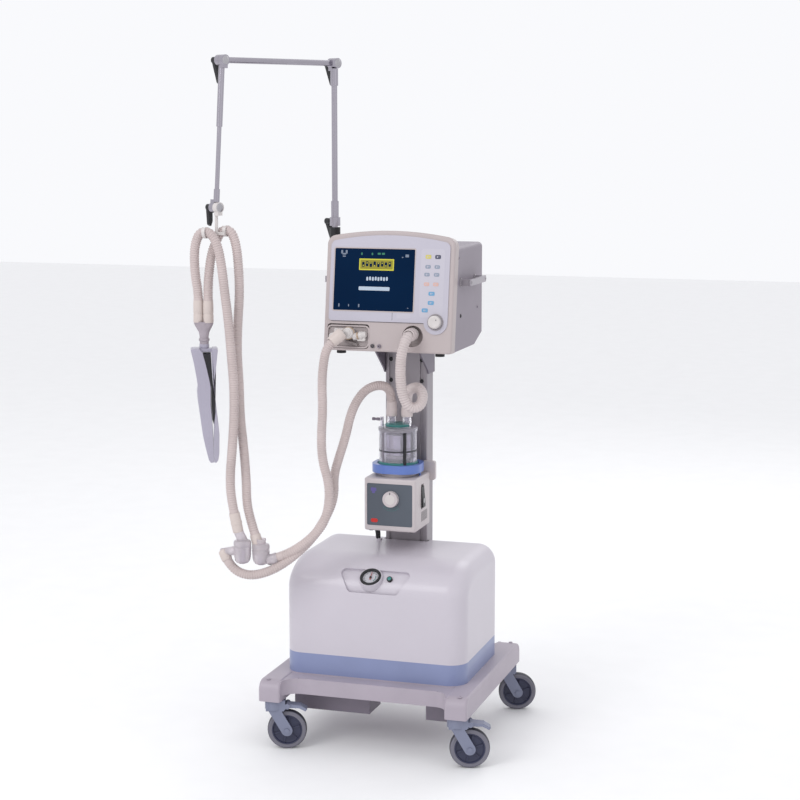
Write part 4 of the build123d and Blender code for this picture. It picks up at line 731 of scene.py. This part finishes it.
lathe("expiratory_port_cuff", [(12.2, -20), (15.6, -20), (16.2, -19), (16.2, -4), (15.2, -2), (15.2, 15),
                               (14.4, 17), (12.3, 17.4)], (-118, -104, 1036), valve_axis, CREAM_CUFF)
lathe("inspiratory_port_cuff", [(12.2, -9), (15.8, -9), (16.6, -8), (16.6, 4), (15.4, 5.4), (15.4, 17),
                                (14.2, 18.2), (12.8, 18.4)], (67, -70, 1047), (0, -1, 0), HOSE_WHITE)

# ---------------------------------------------------------------- humidifier
slabs("humidifier_panel", [(0, 602, 121.4, 109.4)], HUMID, -1.1, -0.25, SLATE, radius=4)
slabs("humidifier_red_mark", [(-41, 560, 19, 10)], HUMID, -0.5, 0.15, RED, radius=4.9)
slabs("humidifier_violet_mark", [(-43, 641, 15, 9), (-43, 634, 8, 6)], HUMID, -0.5, 0.1, VIOLET, radius=2)
arcs = []
for radius in (26, 31):
    for k in range(9):
        turn = math.radians(230 + 10 * k)
        arcs.append((4 + radius * math.cos(turn), 618 + radius * math.sin(turn), 1.1, 3.4,
                     math.degrees(turn)))
slabs("humidifier_scale_marks", arcs, HUMID, -0.4, 0.05, TEAL, radius=0.5)
slabs("humidifier_dial_pointer", [(4, 632, 2.2, 9)], HUMID, 10.3, 11.0, DARK_LINE, "humidifier_dial",
      radius=1)
lathe("humidifier_dial_cap", [(0, 11.3), (11.5, 11.3), (13, 10.9), (13.4, 10.3)], HUMID.at(4, 618),
      HUMID.out, WHITE_PLASTIC, "humidifier_dial")
slabs("humidifier_side_vents", [(20 + 9 * k, 565, 2.6, 26) for k in range(6)],
      Face((69.5, 0, 0), (0, 1, 0), UP), -0.3, 0.4, DARK_LINE, radius=1.2)
slabs("guard_lever_inlay", [(26, 606, 9, 14)], Face((72.6, 0, 0), (0, 1, 0), UP), 0.6, 2.3, FITTING,
      "guard_lever", radius=4)
slabs("humidifier_feet", [(-54, 20, 12, 12), (54, 20, 12, 12), (-54, -84, 12, 12), (54, -84, 12, 12)],
      Face((0, 0, 533), (1, 0, 0), (0, -1, 0)), -0.2, 2.4, RUBBER, radius=5.8)

CHAMBER = (0, 38, 0)
shell = lathe("chamber_shell", [(46, 683), (49, 683), (49, 784), (48.2, 785), (46, 785), (46, 683)],
              CHAMBER, UP, CLEAR, seg=84)
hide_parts("water_chamber")
lathe("chamber_base_plate", [(0, 682.6), (44, 682.6), (45, 683.4), (49.6, 683.4), (50.8, 682.4),
                             (50.8, 677.4), (50, 677.1), (0, 677.1)], CHAMBER, UP, FITTING, seg=84)
lathe("chamber_base_gasket", [(49.2, 684), (50.6, 684.6), (51, 686), (51, 704), (50.4, 706),
                              (49.2, 706.6)], CHAMBER, UP, TEAL, seg=84)
lathe("chamber_water", [(0, 716), (45.7, 716), (45.7, 683.6), (0, 683.6)], CHAMBER, UP, WATER, seg=72)
lathe("chamber_float", [(14, 713), (30, 713), (32, 715), (32, 722), (30, 724), (14, 724), (12.5, 722),
                        (12.5, 715), (14, 713)], CHAMBER, UP, WHITE_PLASTIC, seg=60)
lathe("chamber_level_band", [(49.05, 733), (49.35, 733.3), (49.35, 737), (49.05, 737.3)], CHAMBER, UP,
      DARK_LINE, seg=84)
lathe("chamber_baffle", [(33, 724.5), (33, 738), (34, 739), (34, 742), (33, 743), (33, 776), (31.6, 776),
                         (31.6, 724.5)], CHAMBER, UP, CHAMBER_METAL, seg=72)
# Painted dark reflection streaks: these thin dark uprights set in the clear chamber wall stand for
# reflections.
for k, (x, y, wide, mat) in enumerate(((30, -1, 4.4, BLACK), (-27, 0, 3.4, GREY_METAL), (41, 22, 2.6, BLACK),
                                       (-41, 24, 2.6, BLACK))):
    lathe(f"chamber_painted_streak_{k}", [(0, 784), (wide, 784), (wide, 684), (0, 684)], (x, y, 0), UP, mat, seg=24)
cap = lathe("chamber_lid", [(0, 786), (47, 785.2), (50.4, 785.4), (51, 786.4), (51, 793), (49.4, 795.4),
                            (46, 796), (34, 796), (33, 797.4), (0, 797.6)], CHAMBER, UP, CLEAR, seg=84)
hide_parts("chamber_cap")
lathe("chamber_top_gasket", [(31.4, 796.2), (32.4, 796.4), (33, 797.6), (33, 801.6), (32, 803),
                             (0, 803.4)], CHAMBER, UP, TEAL, seg=72)
for name, x in (("outlet", -17), ("inlet", 24)):
    lathe(f"chamber_{name}_port", [(9.2, 790), (9.2, 827.8), (11, 827.8), (11.1, 812), (12.2, 811),
                                   (12.2, 806), (11.1, 805), (11.1, 798)], (x, 38, 0), UP, CLEAR, seg=48)
lathe("fill_port", [(0, 822), (4.2, 822), (5, 821), (5, 797)], (-38, 20, 0), UP, CLEAR, seg=32)
lathe("fill_spigot", [(0, 0), (3.4, 0), (4, 0.8), (4, 7), (3.2, 7.6), (3.2, 12), (4, 12.6), (4, 25)],
      (-64, 20, 815), (1, 0, 0), GREY_METAL, seg=32)
lathe("outlet_cuff", [(12.2, 822), (13.6, 822.4), (14.2, 823.6), (14.2, 840), (13.4, 842), (13.4, 858),
                      (12.6, 861), (11.4, 861.4)], (-17, 38, 0), UP, HOSE_WHITE, seg=56)
lathe("inlet_cuff", [(12.2, 822), (14.4, 822.4), (15, 823.6), (15, 836), (14.4, 838), (14.4, 845),
                     (13.2, 846.4)], (24, 38, 0), UP, HOSE_WHITE, seg=56)

# ---------------------------------------------------------------- water traps
TRAP_PARTS = (
    ("inspiratory", INSPIRATORY_UPPER, INSPIRATORY_LOWER, (-306, -281, 484, 60)),
    ("expiratory", EXPIRATORY_UPPER, EXPIRATORY_LOWER, (-262, -268, 481, 54)),
)
for name, upper, lower, (cx, cy, low, high) in TRAP_PARTS:
    cup = lathe(f"trap_{name}_cup", [(0, 0.2), (9, 0.2), (14.5, 2.5), (18.5, 8), (20.6, 16), (21.3, 26),
                                     (21.5, high - 24), (22, high - 23), (22, high - 18), (21, high - 17),
                                     (21, high - 14), (22, high - 13), (22, high - 6), (20, high - 2),
                                     (14, high), (0, high + 0.4)], (cx, cy, low), UP, FROSTED, seg=64)
    if name == "inspiratory":
        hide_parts("water_traps")
    lathe(f"trap_{name}_stem", [(0, 6), (5, 6), (5.6, 7), (5.6, high - 8), (0, high - 8)], (cx, cy, low),
          UP, VIOLET_CLEAR, seg=28)
    lathe(f"trap_{name}_drain_knob", [(0, 0), (5, 0), (6, 0.6), (6, 3.6)], (cx, cy, low), UP, GREY_METAL,
          seg=28)
    top = Vector(upper[0]) * TO_MM
    rise = (Vector(upper[1]) * TO_MM - top).normalized()
    head = Vector((cx, cy, low + high))
    foot = top - rise * 38
    lathe(f"trap_{name}_neck", [(12.4, -12), (12.4, (foot - head).length * 0.4),
                                (11.6, (foot - head).length * 0.5), (12.4, (foot - head).length * 0.65),
                                (12.4, (foot - head).length + 3)], head, foot - head, FROSTED, seg=48)
    lathe(f"trap_{name}_upper_cuff", [(11.2, -41), (13.2, -41), (13.5, -40), (13.5, -22), (14.2, -21),
                                      (14.2, -14), (13.5, -13), (13.5, 5), (12.9, 8), (12.1, 8.4)], top,
          rise, CREAM_CUFF, seg=56)
    port = Vector(lower[-1]) * TO_MM
    inward = (port - Vector(lower[-2]) * TO_MM).normalized()
    lathe(f"trap_{name}_lower_cuff", [(12.1, -8.4), (13, -8), (13.4, -5), (13.4, 7), (13, 9), (13, 15),
                                      (11.4, 18), (7, 21), (0, 22)], port, inward,
          CREAM_CUFF if name == "inspiratory" else FROSTED, seg=56)
    elbow = port + inward * 13
    target = Vector((cx, cy, low + 36))
    length = (target - elbow).length
    lathe(f"trap_{name}_elbow", [(10.9, -6), (10.9, length * 0.45), (11.6, length * 0.5),
                                 (10.9, length * 0.55), (10.9, length)], elbow, target - elbow, FROSTED,
          seg=48)

# ---------------------------------------------------------------- Y-piece and test lung
AROUND = 48
verts, faces = [], []
# Height, half width, half depth and middle of each section, in mm.
SECTIONS = ((1087, 25.4, 12.8, -402), (1082, 25.4, 12.8, -402), (1076, 22.5, 12.4, -402),
            (1068, 17.5, 12, -401.5), (1060, 13, 11.6, -401), (1052, 11.5, 11.5, -401),
            (1046, 11.5, 11.5, -401), (1045, 13.4, 13.4, -401), (1040, 13.4, 13.4, -401),
            (1039, 11.3, 11.3, -401), (1024, 11.3, 11.3, -401))
for z, a, b, x in SECTIONS:
    for k in range(AROUND):
        turn = 2 * math.pi * k / AROUND
        verts.append(P(x + a * math.cos(turn), -280 + b * math.sin(turn), z))
for i in range(len(SECTIONS) - 1):
    for k in range(AROUND):
        n = (k + 1) % AROUND
        faces.append([i * AROUND + n, i * AROUND + k, (i + 1) * AROUND + k, (i + 1) * AROUND + n])
faces.append(list(range(AROUND)))
faces.append([(len(SECTIONS) - 1) * AROUND + k for k in range(AROUND)][::-1])
piece("y_body", verts, faces, Y_CLEAR, "hanger", angle=0.5)
LUNG = Face((-401, -280, 0), (math.cos(math.radians(23.5)), math.sin(math.radians(23.5)), 0), UP)


def lung_solid(name, outline, depths, mat, rounding):
    """Closed form with one front outline; depths gives the half depth and how far the rim draws in."""
    half, draw = depths
    centre = (sum(p[0] for p in outline) / len(outline), sum(p[1] for p in outline) / len(outline))
    count = len(outline)
    verts, faces = [], []
    steps = ((-half, draw), (-half * 0.8, draw * 0.35), (-half * 0.35, 0), (half * 0.35, 0),
             (half * 0.8, draw * 0.35), (half, draw))
    for w, pull in steps:
        for u, v in outline:
            reach = math.hypot(u - centre[0], v - centre[1])
            f = 1 - pull / max(reach, 8)
            verts.append(LUNG.at(centre[0] + (u - centre[0]) * f, centre[1] + (v - centre[1]) * f, w) * MM)
    for i in range(len(steps) - 1):
        for k in range(count):
            n = (k + 1) % count
            faces.append([i * count + k, i * count + n, (i + 1) * count + n, (i + 1) * count + k])
    faces.append([(len(steps) - 1) * count + k for k in range(count)])
    faces.append(list(range(count))[::-1])
    return piece(name, verts, faces, mat, "hanger", bevel=rounding, angle=0.9)


LEFT_PLATE = ((-34, 1021), (-30, 1023), (-12, 1023), (-5, 1015), (3, 985), (11, 950), (15, 929),
              (15, 880), (17, 840), (19, 790), (20, 737), (12, 736), (7, 743), (0, 772), (-7, 806),
              (-14, 860), (-19, 898), (-20, 918), (-18, 931), (-21, 955), (-27, 990))
RIGHT_PLATE = ((16, 1015), (19, 1023), (30, 1023), (33, 1020), (28, 976), (21.5, 931), (23, 922),
               (27, 877), (32, 830), (34, 806), (33, 759), (30, 742), (25, 736), (20.3, 737), (19.4, 790),
               (21, 832), (25, 862), (25, 890), (20.5, 929), (18.5, 960))
BAG = ((-4.5, 1010), (15.5, 1010), (18, 960), (20, 929), (24.5, 890), (24.5, 862), (20.6, 832),
       (17.2, 845), (15.4, 880), (15.4, 929), (11.4, 950), (3.4, 985))
lung = lung_solid("lung_left_plate", LEFT_PLATE, (26, 2.0), LUNG_PLATE, 0.7)
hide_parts("test_lung")
lung_solid("lung_right_plate", RIGHT_PLATE, (26, 1.6), LUNG_PLATE, 0.7)
lung_solid("lung_bag", BAG, (25.2, 2.5), LUNG_BAG, 0.0)
slabs("lung_bridge", [(0, 1017, 64, 9)], LUNG, -13, 13, LUNG_PLATE, "hanger", radius=3, bevel=1)
lathe("lung_neck", [(12, 1014), (12, 1020), (10.5, 1021), (10.5, 1023), (12.2, 1024), (12.2, 1031),
                    (11.4, 1032)], (-401, -280, 0), UP, LUNG_PLATE, "hanger", seg=48)

# ---------------------------------------------------------------- arm trim
POST = (-190, 95)
AWAY = Vector((-166, -345, 0)).normalized()
LEVER_SIDE = Vector((AWAY.y, -AWAY.x, 0))


def arm(along, height):
    """Point on the arm's plane: distance from the post, and height above the floor."""
    return Vector((*POST, height)) + AWAY * along


ARM_HEIGHT = 1722
for name, along, height, body in (("boom", 0, ARM_HEIGHT, "arm_post"), ("drop", 383, ARM_HEIGHT, "arm_boom"),
                                  ("hanger", 408, 1367, "arm_drop")):
    lathe(f"arm_cap_{name}", [(0, 15.6), (7, 15.4), (10, 14.6), (11, 13.6)], arm(along, height),
          -LEVER_SIDE, FITTING, body, seg=40)

# ---------------------------------------------------------------- floor, size and finish
FLOOR_HALF = 14
floor_mesh = bpy.data.meshes.new("floor")
corners = [(-FLOOR_HALF, -FLOOR_HALF, 0), (FLOOR_HALF, -FLOOR_HALF, 0), (FLOOR_HALF, FLOOR_HALF, 0),
           (-FLOOR_HALF, FLOOR_HALF, 0)]
floor_mesh.from_pydata(corners, [], [(0, 1, 2, 3)])
floor_mesh.materials.append(FLOOR)
floor = bpy.data.objects.new("floor", floor_mesh)
bpy.context.collection.objects.link(floor)
